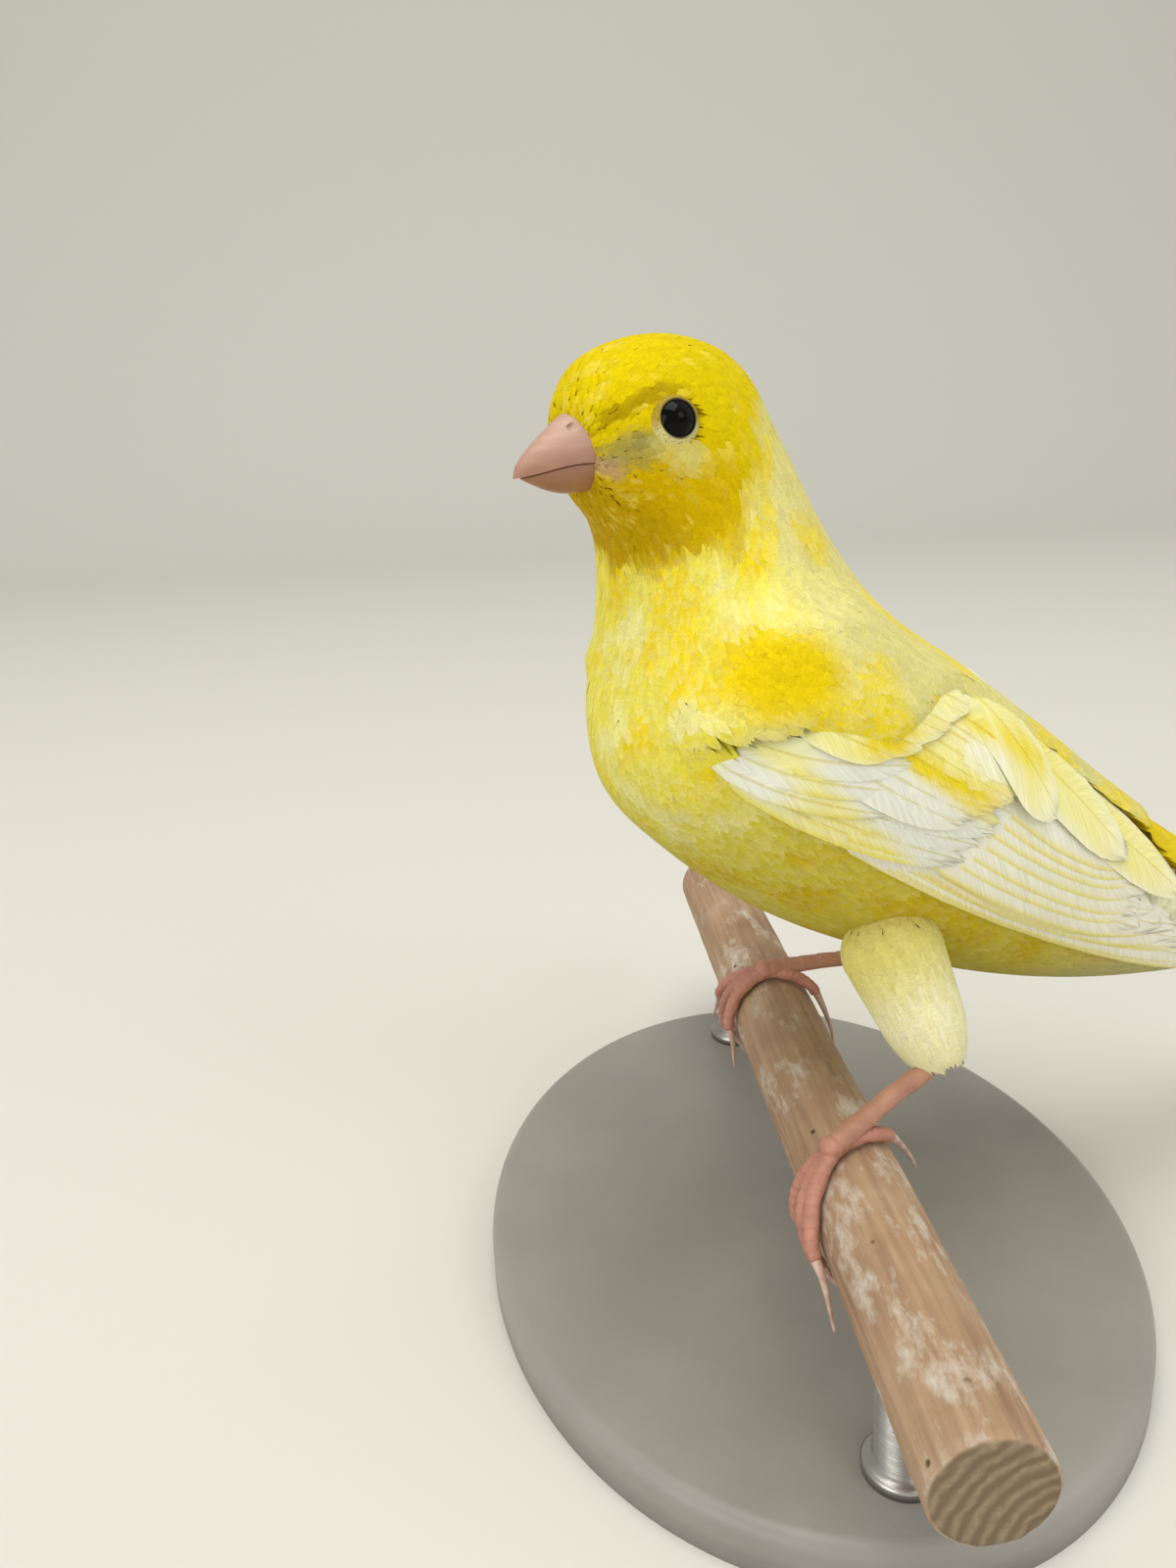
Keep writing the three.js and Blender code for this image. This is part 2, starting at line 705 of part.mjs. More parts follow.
const baseProfile = [
  new THREE.Vector2(0, 0),
  new THREE.Vector2(baseLength / 2, 0),
  new THREE.Vector2(baseLength / 2, baseThickness - baseRound),
  new THREE.Vector2(baseLength / 2 - baseShoulder, baseThickness - baseShoulder),
  new THREE.Vector2(baseLength / 2 - baseRound, baseThickness),
  new THREE.Vector2(0, baseThickness),
];
const base = new THREE.LatheGeometry(baseProfile, baseSides).rotateX(Math.PI / 2);
add(model, "stand_base", base.scale(baseWidth / baseLength, 1, 1), 0x8f8d88, 0.6);

for (const [name, side] of [["stand_rod_front", left], ["stand_rod_back", right]]) {
  const bottom = baseThickness + gap;
  const rod = new THREE.CylinderGeometry(rodRadius, rodRadius, perchHeight - bottom, rodSides);
  rod.rotateX(Math.PI / 2).translate(0, (side * rodSpacing) / 2, (perchHeight + bottom) / 2);
  const saddle = perchGrown.translate([0, 0, perchHeight]);
  add(model, name, largest(solid(rod).subtract(saddle)), 0xb8b8b8, 0.3, 1);
}

export default model;
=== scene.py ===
import math

import bmesh
import bpy
import numpy as np
from mathutils import Matrix, Vector, kdtree, noise


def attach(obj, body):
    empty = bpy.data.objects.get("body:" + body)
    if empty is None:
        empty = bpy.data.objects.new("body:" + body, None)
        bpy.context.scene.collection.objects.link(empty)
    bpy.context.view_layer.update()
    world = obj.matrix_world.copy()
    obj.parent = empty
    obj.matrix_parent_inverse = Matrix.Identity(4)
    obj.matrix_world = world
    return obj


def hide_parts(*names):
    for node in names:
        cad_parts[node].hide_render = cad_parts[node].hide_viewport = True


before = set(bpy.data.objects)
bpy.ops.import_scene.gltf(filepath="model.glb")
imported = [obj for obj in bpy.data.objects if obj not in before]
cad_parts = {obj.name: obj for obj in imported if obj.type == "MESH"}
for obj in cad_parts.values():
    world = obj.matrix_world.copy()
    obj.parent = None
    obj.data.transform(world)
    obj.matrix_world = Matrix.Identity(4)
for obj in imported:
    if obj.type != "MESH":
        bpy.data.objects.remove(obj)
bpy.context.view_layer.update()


# Stand base: an oval steel foot with a rounded top edge, painted a satin warm grey. It is turned
# and milled from plate, and its paint lies in a faint orange peel.
def paint(code):
    """A colour given as six hex digits of sRGB, as linear red, green and blue."""
    values = [int(code[i : i + 2], 16) / 255 for i in (0, 2, 4)]
    return [v / 12.92 if v < 0.04045 else ((v + 0.055) / 1.055) ** 2.4 for v in values]


def new_finish(name, roughness, **sockets):
    """A material with one Principled shader, with the constants of that shader set on its sockets."""
    made = bpy.data.materials.new(name)
    made.use_nodes = True
    shader = made.node_tree.nodes["Principled BSDF"]
    shader.inputs["Roughness"].default_value = roughness
    for socket, value in sockets.items():
        shader.inputs[socket.replace("_", " ")].default_value = value
    return made, made.node_tree, shader


def wire(tree, kind, inputs, **settings):
    """Adds a node, sets it up and wires or fills its inputs."""
    made = tree.nodes.new("ShaderNode" + kind)
    for key, value in settings.items():
        setattr(made, key, value)
    for key, value in inputs.items():
        if isinstance(value, bpy.types.NodeSocket):
            tree.links.new(value, made.inputs[key])
        else:
            made.inputs[key].default_value = value
    return made


def grade(tree, factor, stops):
    """A colour ramp over a factor: stops are places with their colours as hex digits."""
    ramp = wire(tree, "ValToRGB", {"Fac": factor})
    elements = ramp.color_ramp.elements
    while len(elements) < len(stops):
        elements.new(0.5)
    for element, (place, code) in zip(elements, stops):
        element.position = place
        element.color = [*paint(code), 1]
    return ramp.outputs["Color"]


def roughen(tree, shader, height, distance, strength=1.0):
    """Bumps the shader's surface by a height, in metres at full height."""
    bump = wire(tree, "Bump", {"Height": height, "Distance": distance, "Strength": strength})
    tree.links.new(bump.outputs["Normal"], shader.inputs["Normal"])


def object_places(tree):
    """The places of a piece in its own coordinates."""
    return wire(tree, "TexCoord", {}).outputs["Object"]


def clouds(tree, at, scale, detail, **inputs):
    """Soft chance light and dark, about 0.5."""
    values = {"Vector": at, "Scale": scale, "Detail": detail}
    values.update({key.replace("_", " "): value for key, value in inputs.items()})
    return wire(tree, "TexNoise", values).outputs["Fac"]


def base_colour(tree, shader, colour):
    """Gives a shader its colour."""
    tree.links.new(colour, shader.inputs["Base Color"])


def piece(name, mesh, finish, slot, *nodes):
    """Makes a finished piece from a mesh: its material, its body and what it stands for. Its slot is not
    used.
    """
    made = bpy.data.objects.new(name, mesh)
    bpy.context.scene.collection.objects.link(made)
    mesh.materials.append(finish)
    mesh.shade_smooth()
    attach(made, "root")
    if nodes:
        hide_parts(*nodes)
    return made


def mesh_of(name, bm):
    """The mesh of a finished bmesh, its faces turned outwards."""
    bmesh.ops.remove_doubles(bm, verts=bm.verts, dist=1e-7)
    bmesh.ops.recalc_face_normals(bm, faces=bm.faces)
    mesh = bpy.data.meshes.new(name)
    bm.to_mesh(mesh)
    bm.free()
    return mesh


BASE_LENGTH = 0.092
BASE_WIDTH = 0.072
BASE_THICKNESS = 0.005
BASE_ROUND = 0.0015
TOP_RINGS = (0.003, 0.006, 0.009)

bm = bmesh.new()
bmesh.ops.create_circle(bm, cap_ends=True, segments=160, radius=BASE_LENGTH / 2)
bmesh.ops.scale(bm, vec=(BASE_WIDTH / BASE_LENGTH, 1, 1), verts=bm.verts)
grown = bmesh.ops.extrude_face_region(bm, geom=bm.faces[:])["geom"]
risen = [v for v in grown if isinstance(v, bmesh.types.BMVert)]
bmesh.ops.translate(bm, vec=(0, 0, BASE_THICKNESS), verts=risen)
rim = [e for e in bm.edges if all(v.co.z > BASE_THICKNESS / 2 for v in e.verts) and not e.is_boundary]
bmesh.ops.bevel(
    bm, geom=rim, offset=BASE_ROUND, segments=5, profile=0.5, affect="EDGES", material=-1
)
top = max(bm.faces, key=lambda f: f.calc_center_median().z)
for ring in TOP_RINGS:
    bmesh.ops.inset_region(bm, faces=[top], thickness=ring)

stand_paint, tree, shader = new_finish("stand_paint", 0.42, Specular_IOR_Level=0.45)
at = object_places(tree)
base_colour(tree, shader, grade(tree, clouds(tree, at, 60, 4), [(0.3, "8f8c86"), (0.7, "9b9892")]))
roughen(tree, shader, clouds(tree, at, 1400, 2), 0.00004)
piece("stand_foot", mesh_of("stand_foot", bm), stand_paint, "stand_paint", "stand_base")


# Stand rods: two short steel rods, brushed along their turning, screwed into the foot through a
# thin collar. Each rod's top is milled to a saddle that the perch lies in.
PERCH_RADIUS = 0.005
PERCH_HEIGHT = 0.022
ROD_RADIUS = 0.0025
ROD_SPACING = 0.076
COLLAR_RADIUS = 0.0036
COLLAR_HEIGHT = 0.0012
COLLAR_EDGE = 0.0003
ROD_TOP = 0.016
SADDLE_GAP = 0.0001


def turn_up(profile, axis, steps):
    """A round form turned about an axis through the origin, from the places of its profile."""
    bm = bmesh.new()
    line = [bm.verts.new(place) for place in profile]
    edges = [bm.edges.new(pair) for pair in zip(line, line[1:])]
    bmesh.ops.spin(
        bm, geom=line + edges, cent=(0, 0, 0), axis=axis, angle=math.tau, steps=steps, use_merge=True
    )
    return bm


def stretched(tree, at, scale):
    """Places drawn out along the axes, for a pattern with a grain."""
    return wire(tree, "Mapping", {"Vector": at, "Scale": scale}).outputs["Vector"]


stand_steel, tree, shader = new_finish("stand_steel", 0.3, Metallic=1.0, Anisotropic=0.4)
lines = clouds(tree, stretched(tree, object_places(tree), (200, 200, 9000)), 1, 3)
base_colour(tree, shader, grade(tree, lines, [(0.3, "a3a29f"), (0.7, "bdbcb8")]))
roughen(tree, shader, lines, 0.00002)
collar_top = BASE_THICKNESS + COLLAR_HEIGHT
for name, side in (("rod_front", -1), ("rod_back", 1)):
    profile = [
        (0, 0, BASE_THICKNESS), (COLLAR_RADIUS, 0, BASE_THICKNESS),
        (COLLAR_RADIUS, 0, collar_top - COLLAR_EDGE), (COLLAR_RADIUS - COLLAR_EDGE, 0, collar_top),
        (ROD_RADIUS, 0, collar_top), (ROD_RADIUS, 0, ROD_TOP), (0, 0, ROD_TOP),
    ]
    bm = turn_up(profile, (0, 0, 1), 56)
    for vertex in bm.verts:
        if vertex.co.z > ROD_TOP - SADDLE_GAP:
            vertex.co.z = PERCH_HEIGHT - math.sqrt(PERCH_RADIUS**2 - vertex.co.x**2) - SADDLE_GAP
    bmesh.ops.translate(bm, vec=(0, side * ROD_SPACING / 2, 0), verts=bm.verts)
    piece(name, mesh_of(name, bm), stand_steel, "stand_steel", "stand_" + name)


# Perch: a short length of round softwood dowel, sawn across at both ends. Its grain runs along it,
# worn, dented, smeared pale and dotted with dark specks; the end grain is rough and dark.
PERCH_LENGTH = 0.112
PERCH_RIM = 0.0005
PERCH_ROWS = 150
WEAR = 0.00006
END_SAWN = 0.00012

half_length = PERCH_LENGTH / 2
straight = np.linspace(PERCH_RIM - half_length, half_length - PERCH_RIM, PERCH_ROWS)
ends = [0, 0.25, 0.5, 0.75, 0.9]
profile = [(share * PERCH_RADIUS, -half_length, 0) for share in ends]
profile += [(PERCH_RADIUS, y, 0) for y in straight]
profile += [(share * PERCH_RADIUS, half_length, 0) for share in reversed(ends)]
bm = turn_up(profile, (0, 1, 0), 96)
bmesh.ops.remove_doubles(bm, verts=bm.verts, dist=1e-7)
for vertex in bm.verts:
    x, y, z = vertex.co
    along_grain = Vector((x * 900, y * 90, z * 900))
    dent = noise.noise(along_grain) * 0.00005 + noise.noise(vertex.co * 260) * WEAR
    if abs(y) < half_length - 0.0001:
        outward = Vector((x, 0, z)).normalized()
        vertex.co += outward * (dent - WEAR)
    else:
        vertex.co.y -= math.copysign(END_SAWN + noise.noise(vertex.co * 1300) * END_SAWN, y)
bmesh.ops.translate(bm, vec=(0, 0, PERCH_HEIGHT), verts=bm.verts)


def blend(tree, factor, first, second, how="MIX"):
    """Mixes two colours."""
    mixed = wire(tree, "Mix", {0: factor, 6: first, 7: second}, data_type="RGBA", blend_type=how)
    return mixed.outputs[2]


def cells(tree, at, scale):
    """Distance from the middles of chance cells."""
    return wire(tree, "TexVoronoi", {"Vector": at, "Scale": scale}).outputs["Distance"]


def levels(tree, value, low, high, start=0.0, end=1.0):
    """A value spread from low and high to start and end, and held there beyond them."""
    inputs = {"Value": value, "From Min": low, "From Max": high, "To Min": start, "To Max": end}
    return wire(tree, "MapRange", inputs).outputs["Result"]


def calculate(tree, how, *values):
    """One step of sums on values."""
    return wire(tree, "Math", dict(enumerate(values)), operation=how).outputs[0]


perch_wood, tree, shader = new_finish("perch_wood", 0.72, Specular_IOR_Level=0.3)
at = object_places(tree)
grain = clouds(tree, stretched(tree, at, (1500, 70, 1500)), 1, 6)
wood = grade(tree, grain, [(0.28, "7d6450"), (0.45, "9d8166"), (0.62, "b39678"), (0.8, "c3ab90")])
warm = grade(tree, clouds(tree, at, 130, 5), [(0.3, "97735a"), (0.6, "b3957a"), (0.75, "c2b09a")])
body = blend(tree, 0.5, wood, warm)
smear = clouds(tree, stretched(tree, at, (260, 110, 260)), 1, 5, Roughness=0.7)
body = blend(tree, levels(tree, smear, 0.53, 0.68), body, [*paint("cbc3b6"), 1])
specks = levels(tree, cells(tree, at, 330), 0.12, 0.06)
some = levels(tree, clouds(tree, at, 190, 1), 0.52, 0.6)
body = blend(tree, calculate(tree, "MULTIPLY", specks, some), body, [*paint("4d3a28"), 1])
heart_at = wire(tree, "Mapping", {"Vector": at, "Location": (-0.006, 0, -0.017)}).outputs["Vector"]
rings = wire(
    tree, "TexWave",
    {"Vector": heart_at, "Scale": 260, "Distortion": 3, "Detail": 3, "Detail Scale": 2},
    wave_type="RINGS", rings_direction="Y",
).outputs["Fac"]
end_grain = calculate(tree, "MULTIPLY", rings, clouds(tree, at, 1500, 5))
end_colour = grade(tree, end_grain, [(0.05, "77664f"), (0.3, "87765e"), (0.6, "96856c")])
facing = wire(tree, "NewGeometry", {}).outputs["Normal"]
along_perch = wire(tree, "SeparateXYZ", {"Vector": facing}).outputs["Y"]
is_end = levels(tree, calculate(tree, "ABSOLUTE", along_perch), 0.6, 0.85)
base_colour(tree, shader, blend(tree, is_end, body, end_colour))
roughen(tree, shader, blend(tree, is_end, grain, end_grain), 0.0002)
piece("perch_dowel", mesh_of("perch_dowel", bm), perch_wood, "perch_wood", "perch")


# Skin: the one skin of the whole bird under its feathers, from the face over the neck and trunk to
# the rump, with both thighs. Thin, soft and yellowish, pricked by the roots of the feathers.
STATIONS = [
    ((-26.8, 69.1), (-26.8, 69.1), 0.0),
    ((-27.5, 73.0), (-25.4, 64.5), 3.6),
    ((-25.7, 76.1), (-23.5, 62.4), 5.4),
    ((-21.4, 77.9), (-22.2, 60.6), 6.9),
    ((-15.6, 78.2), (-21.8, 58.1), 7.8),
    ((-10.3, 76.3), (-22.0, 55.0), 8.5),
    ((-6.2, 70.2), (-22.7, 50.8), 9.8),
    ((-1.5, 61.2), (-23.9, 44.4), 12.5),
    ((4.9, 53.1), (-22.7, 37.3), 14.7),
    ((14.0, 46.3), (-16.7, 30.3), 15.1),
    ((23.1, 39.4), (-7.8, 23.2), 14.3),
    ((32.3, 32.1), (3.2, 17.2), 12.4),
    ((41.0, 25.9), (15.8, 11.8), 10.0),
    ((48.9, 20.7), (29.8, 7.7), 7.7),
    ((55.9, 16.2), (44.3, 5.3), 5.6),
    ((62.4, 11.0), (57.4, 4.5), 3.6),
    ((68.0, 4.2), (68.0, 4.2), 0.0),
]
LAST_STATION = len(STATIONS) - 1
BODY_TURN = math.radians(15)
BODY_ASIDE = 3.7
HEAD_TURN = math.radians(18)
NECK_AXIS = -13.6
NECK_TURNED = 4.6
NECK_STRAIGHT = 7.6
PERCH_MM = 22.0
FACE_DEPTH = 0.3
TRUNK_DEPTH = 1.2
RUMP_THINNING = 0.97


def ease(value, low, high):
    """0 below low, 1 above high, and a smooth rise between."""
    t = np.clip((value - low) / (high - low), 0, 1)
    return t * t * (3 - 2 * t)


def along_curve(points, t):
    """Places at t, from 0 to 1, on the smooth curve through a row of points."""
    points = np.asarray(points, float)
    last = len(points) - 1
    place = np.clip(t, 0, 1) * last
    first = np.minimum(place.astype(int), last - 1)
    w = (place - first)[:, None]
    row = np.vstack([2 * points[0] - points[1], points, 2 * points[-1] - points[-2]])
    a, b, c, d = (row[first + k] for k in range(4))
    before, between, after = (
        np.sqrt(np.linalg.norm(q - p, axis=1, keepdims=True)) for p, q in ((a, b), (b, c), (c, d))
    )
    between = np.where(between < 1e-4, 1, between)
    before = np.where(before < 1e-4, between, before)
    after = np.where(after < 1e-4, between, after)
    out = ((b - a) / before - (c - a) / (before + between) + (c - b) / between) * between
    into = ((c - b) / between - (d - b) / (between + after) + (d - c) / after) * between
    return b + out * w + (3 * (c - b) - 2 * out - into) * w**2 + (2 * (b - c) + out + into) * w**3


def slices_of(stations):
    """The slices through a form at any station: middle, upward direction, reach and half width."""
    count = len(stations) - 1
    t = np.linspace(0, 1, 200 * count + 1)
    top = along_curve([(t_[0], half, t_[1]) for t_, _, half in stations], t)
    bottom = along_curve([(b_[0], half, b_[1]) for _, b_, half in stations], t)
    half = (top[:, 1] + bottom[:, 1]) / 2
    across = (top - bottom)[:, [0, 2]]
    reach = np.linalg.norm(across, axis=1) / 2
    up = across / np.maximum(2 * reach, 1e-6)[:, None]
    up[0], up[-1] = up[1], up[-2]
    middle = (top + bottom)[:, [0, 2]] / 2
    table = np.column_stack([middle, up, reach, half]).T
    return lambda station: [np.interp(station, t * count, column) for column in table]


def on_slice(parts, around, lift):
    """The point of a slice at an angle from its top, lifted. Positive angles go round the left."""
    middle_x, middle_z, up_x, up_z, reach, half = parts
    cos, sin = np.cos(around), np.sin(around)
    x = middle_x + up_x * cos * reach
    z = middle_z + up_z * cos * reach
    rise = cos / np.maximum(reach, 0.01)
    aside = -sin / np.maximum(half, 0.01)
    size = np.hypot(rise, aside)
    rise, aside = rise / size * lift, aside / size * lift
    return np.stack([x + up_x * rise, -sin * half + aside, z + up_z * rise], -1)


def set_in_pose(point, angle):
    """A point of the straight bird, with its neck turned by an angle and set over the perch."""
    x, y, z = point[..., 0] - NECK_AXIS, point[..., 1], point[..., 2]
    bent_x = x * np.cos(angle) - y * np.sin(angle) + NECK_AXIS
    bent_y = x * np.sin(angle) + y * np.cos(angle)
    cos, sin = math.cos(BODY_TURN), math.sin(BODY_TURN)
    return np.stack(
        [
            bent_x * cos - bent_y * sin + sin * BODY_ASIDE,
            bent_x * sin + bent_y * cos - cos * BODY_ASIDE,
            z + PERCH_MM,
        ],
        -1,
    )


body_slices = slices_of(STATIONS)


def straight_body(station, around, lift=0.0):
    """A point on the straight bird's outline."""
    return on_slice(body_slices(station), around, lift)


def on_body(station, around, lift=0.0):
    """A point on the posed bird's outline, in millimetres of the frame."""
    station, around = np.broadcast_arrays(station, around)
    angle = HEAD_TURN * (1 - ease(station, NECK_TURNED, NECK_STRAIGHT))
    return set_in_pose(straight_body(station, around, lift), angle)


def coat_depth(station):
    """How deep the coat is over the skin: thinnest on the face, and thinning out at the rump's end."""
    depth = FACE_DEPTH + (TRUNK_DEPTH - FACE_DEPTH) * ease(station, 1.0, 6.5)
    return depth * (1 - RUMP_THINNING * ease(station, LAST_STATION - 1.6, LAST_STATION - 0.2))


def ripple(x, y, z, seed):
    """Smooth chance, about -1 to 1, at rows of places measured in its own waves."""
    shift = seed * 17.3
    places = np.stack(np.broadcast_arrays(x, y, z), -1).reshape(-1, 3) + shift
    values = np.array([noise.noise(Vector(p)) for p in places])
    return values.reshape(np.broadcast(x, y, z).shape)


def spot(x, z, centre_x, centre_z, long, wide, lean=0.0):
    """1 inside an oval mark on the bird's side and 0 outside it, soft at its edge."""
    cos, sin = math.cos(lean), math.sin(lean)
    a = ((x - centre_x) * cos + (z - centre_z) * sin) / long
    b = ((z - centre_z) * cos - (x - centre_x) * sin) / wide
    return 1 - ease(np.hypot(a, b), 0.55, 1.3)


FACE_MARKS = [
    # colour, station, degrees from the top of the head, reach along and round, strength
    ("a99c50", 1.7, 92, 1.05, 14, 0.85),
    ("a28000", 2.1, 62, 1.4, 8, 0.7),
    ("e0d884", 3.3, 93, 0.9, 7, 0.7),
]


def markings(station, around):
    """The plumage's colour at places on the body, with painted shade low on it, and the colour that feather
    tips have there.
    """
    x, y, z = np.moveaxis(straight_body(station, around), -1, 0)
    low = (1 - np.cos(around)) / 2
    streak = ripple(station * 1.5, around * 2.6, 0, 1)
    fine = ripple(station * 4.0, around * 7.0, 0, 2)
    cloud = ripple(x / 4.5, y / 4.5, z / 4.5, 3)

    def mixed(colour, code, share):
        share = np.clip(share, 0, 1)[..., None]
        return colour * (1 - share) + np.array(paint(code)) * share

    colour = np.broadcast_to(np.array(paint("e4dc86")), (*x.shape, 3))
    colour = mixed(colour, "f2dc20", ease(streak + 0.7 * cloud, 0.0, 0.4) * 0.8)
    breast = ease(low, 0.3, 0.5)
    colour = mixed(colour, "f2e650", breast)
    colour = mixed(colour, "f9f3a6", breast * ease(-cloud - 0.5 * fine, 0.05, 0.5) * 0.7)
    colour = mixed(colour, "f6da0c", breast * ease(streak + 0.8 * cloud + 0.4 * fine, 0.12, 0.5) * 0.85)
    belly = ease(station, 8.0, 10.0) * ease(low, 0.35, 0.6)
    colour = mixed(colour, "dfcd34", belly * 0.85)
    colour = mixed(colour, "e0c200", belly * ease(cloud + 0.5 * streak, 0.0, 0.35) * 0.9)
    vent = ease(station, 11.8, 13.5) * ease(low, 0.45, 0.7)
    colour = mixed(colour, "d6cd86", vent)
    rump = ease(station, 11.2, 12.0) * (1 - ease(low, 0.3, 0.5))
    colour = mixed(colour, "ecd000", rump * 0.95)
    wave = 0.7 * cloud
    patch = spot(x, z, -12.8 + wave, 50.8 + wave, 5.8, 3.7, math.radians(-22))
    colour = mixed(colour, "eccf00", patch * 0.95)
    colour = mixed(colour, "f5de14", spot(x, z, -3.4, 44.6, 3.2, 1.9, math.radians(-25)) * 0.9)

    edge = 5.6 - 1.7 * ease(low, 0.6, 1.0) + 0.45 * streak + 0.35 * fine
    head = 1 - ease(station, edge - 0.4, edge + 0.3)
    colour = mixed(colour, "e4cc00", head)
    cheek = head * ease(low, 0.3, 0.6)
    colour = mixed(colour, "d8b600", cheek)
    throat = head * ease(low, 0.65, 0.9)
    colour = mixed(colour, "bf9c00", throat)
    colour = mixed(colour, "f4e26a", head * ease(fine + 0.5 * streak, 0.2, 0.7) * 0.35)
    degrees = np.degrees(np.abs(around))
    uneven, askew = station + 0.3 * fine, degrees + 7 * streak + 5 * fine
    for code, *mark, strength in FACE_MARKS:
        colour = mixed(colour, code, spot(uneven, askew, *mark) * strength)
    colour = mixed(colour, "6f6a48", spot(uneven, askew, 2.5, 92, 0.45, 9) * ease(fine, -0.3, 0.4) * 0.35)
    colour = mixed(colour, "c3a084", spot(uneven, askew, 0.85, 104, 0.85, 15) * 0.7)

    # Painted shade: the plumage is darkened by up to three tenths low on the body, most on its underside,
    # for the shade that falls under the bird.
    colour = colour * (1 - 0.3 * ease(-z, -47, -31) * low)[..., None]
    tips = mixed(colour, "faf6cf", 0.3 * (1 - head) * (1 - 0.5 * belly) * (1 - patch) * (1 - 0.8 * rump))
    return colour, tips


# Each thigh is a straight cone from the flank to the heel, rounded at both ends.
THIGHS = {
    "left": ((5.0, -13.0, 23.5), (9.6, -17.0, 10.7)),
    "right": ((13.5, 5.6, 20.0), (12.2, 13.5, 6.9)),
}
THIGH_TOP = 5.7
THIGH_END = 3.4
THIGH_OVER = 1.6
THIGH_ROUND_FROM = 0.7
THIGH_ROUNDING = 0.7
THIGH_CLOSING = 0.3
THIGH_DOME = 0.3
THIGH_INWARD = {"left": 3.2, "right": 0.0}


def on_thigh(name):
    """The outline of a thigh's feathers: a function of a place along it and an angle round it."""
    hip, heel = (np.array(p) + (0, 0, PERCH_MM) for p in THIGHS[name])
    hip[1] += THIGH_INWARD[name]
    down = (heel - hip) / np.linalg.norm(heel - hip)
    path = heel + down * THIGH_OVER - hip
    first = np.cross(down, (0, 1, 0))
    first /= np.linalg.norm(first)
    second = np.cross(down, first)

    def place(along, around):
        """A point on it, along from 0 at the hip to 1 at the heel."""
        along, around = np.broadcast_arrays(along, around)
        past = np.clip((along - THIGH_ROUND_FROM) / (1 - THIGH_ROUND_FROM), 0, 1)
        beyond = np.clip((along - 1) / THIGH_CLOSING, 0, 1)
        before = 1 - np.clip(along / THIGH_DOME, 0, 1)
        radius = (THIGH_TOP + (THIGH_END - THIGH_TOP) * along) * np.sqrt(1 - THIGH_ROUNDING * past**2)
        radius = radius * (1 - THIGH_ROUNDING * beyond) * np.sqrt(1.002 - before**2)
        ring = np.cos(around)[..., None] * first + np.sin(around)[..., None] * second
        return hip + path * along[..., None] + ring * radius[..., None]

    return place


def globe_over(bm, sides, rows, place):
    """Moves a round globe's vertices to place(share from pole to pole, angle round)."""
    bmesh.ops.create_uvsphere(bm, u_segments=sides, v_segments=rows, radius=1)
    found = np.array([v.co for v in bm.verts])
    share = np.arccos(np.clip(found[:, 2], -1, 1)) / math.pi
    around = np.arctan2(found[:, 1], found[:, 0])
    for vertex, point in zip(bm.verts, place(share, around)):
        vertex.co = point / 1000


def under_coat(share, around):
    """The skin of the body, under the coat by its depth."""
    station = share * LAST_STATION
    return on_body(station, around, -coat_depth(station))


THIGH_SKIN = 0.76
bm = bmesh.new()
globe_over(bm, 96, 170, under_coat)
skin = bpy.data.objects.new("skin", mesh_of("skin", bm))
bpy.context.scene.collection.objects.link(skin)
helpers = [skin]
for name in THIGHS:
    bm = bmesh.new()
    thigh_place = on_thigh(name)

    def inner_thigh(share, around):
        """Just inside the thigh's feathers."""
        axis = (thigh_place(share, around) + thigh_place(share, around + math.pi)) / 2
        closed = np.sin(math.pi * share) ** 0.3
        return axis + (thigh_place(share, around) - axis) * THIGH_SKIN * closed[:, None]

    globe_over(bm, 32, 24, inner_thigh)
    thigh = bpy.data.objects.new("thigh", mesh_of("thigh", bm))
    bpy.context.scene.collection.objects.link(thigh)
    union = skin.modifiers.new("thigh", "BOOLEAN")
    union.operation = "UNION"
    union.solver = "EXACT"
    union.object = thigh
    helpers.append(thigh)
joined = bpy.data.meshes.new_from_object(skin.evaluated_get(bpy.context.evaluated_depsgraph_get()))
for helper in helpers:
    bpy.data.objects.remove(helper)


def nearest_places(points):
    """For points near the body in the frame, the station and angle of the outline nearest them."""
    along = np.linspace(0.05, LAST_STATION - 0.1, 320)
    stations, arounds = np.meshgrid(along, np.linspace(-math.pi, math.pi, 128))
    stations, arounds = stations.ravel(), arounds.ravel()
    tree_of = kdtree.KDTree(len(stations))
    for i, point in enumerate(on_body(stations, arounds)):
        tree_of.insert(point, i)
    tree_of.balance()
    found = [tree_of.find(p)[1] for p in points]
    return stations[found], arounds[found]


def tint(mesh, colours):
    """Writes the colours of a mesh's vertices."""
    rgba = np.ones((len(mesh.vertices), 4), np.float32)
    rgba[:, :3] = colours
    mesh.attributes.new("hue", "FLOAT_COLOR", "POINT").data.foreach_set("color", rgba.ravel())


def hue_times(tree, light):
    """A piece's own colours, made darker or lighter by a pattern."""
    shade = wire(tree, "Attribute", {}, attribute_name="hue").outputs["Color"]
    return blend(tree, 1.0, shade, light, "MULTIPLY")


def between_paints(low, high, share):
    """The colours between two paints, at rows of shares from 0 to 1."""
    share = share[:, None]
    return np.array(paint(low)) * (1 - share) + np.array(paint(high)) * share


def points_of(made):
    """The places of a mesh's or a bmesh's vertices, in millimetres."""
    vertices = made.verts if isinstance(made, bmesh.types.BMesh) else made.vertices
    return np.array([v.co for v in vertices]) * 1000


TROUSERS = "fbf8cf"
TROUSERS_BELOW = 24
points = points_of(joined)
colours, _ = markings(*nearest_places(points))
on_leg = ease(PERCH_MM + TROUSERS_BELOW - points[:, 2], 0, 3)[:, None] * (points[:, 0] > 0)[:, None]
tint(joined, colours * (1 - on_leg) + np.array(paint(TROUSERS)) * on_leg)

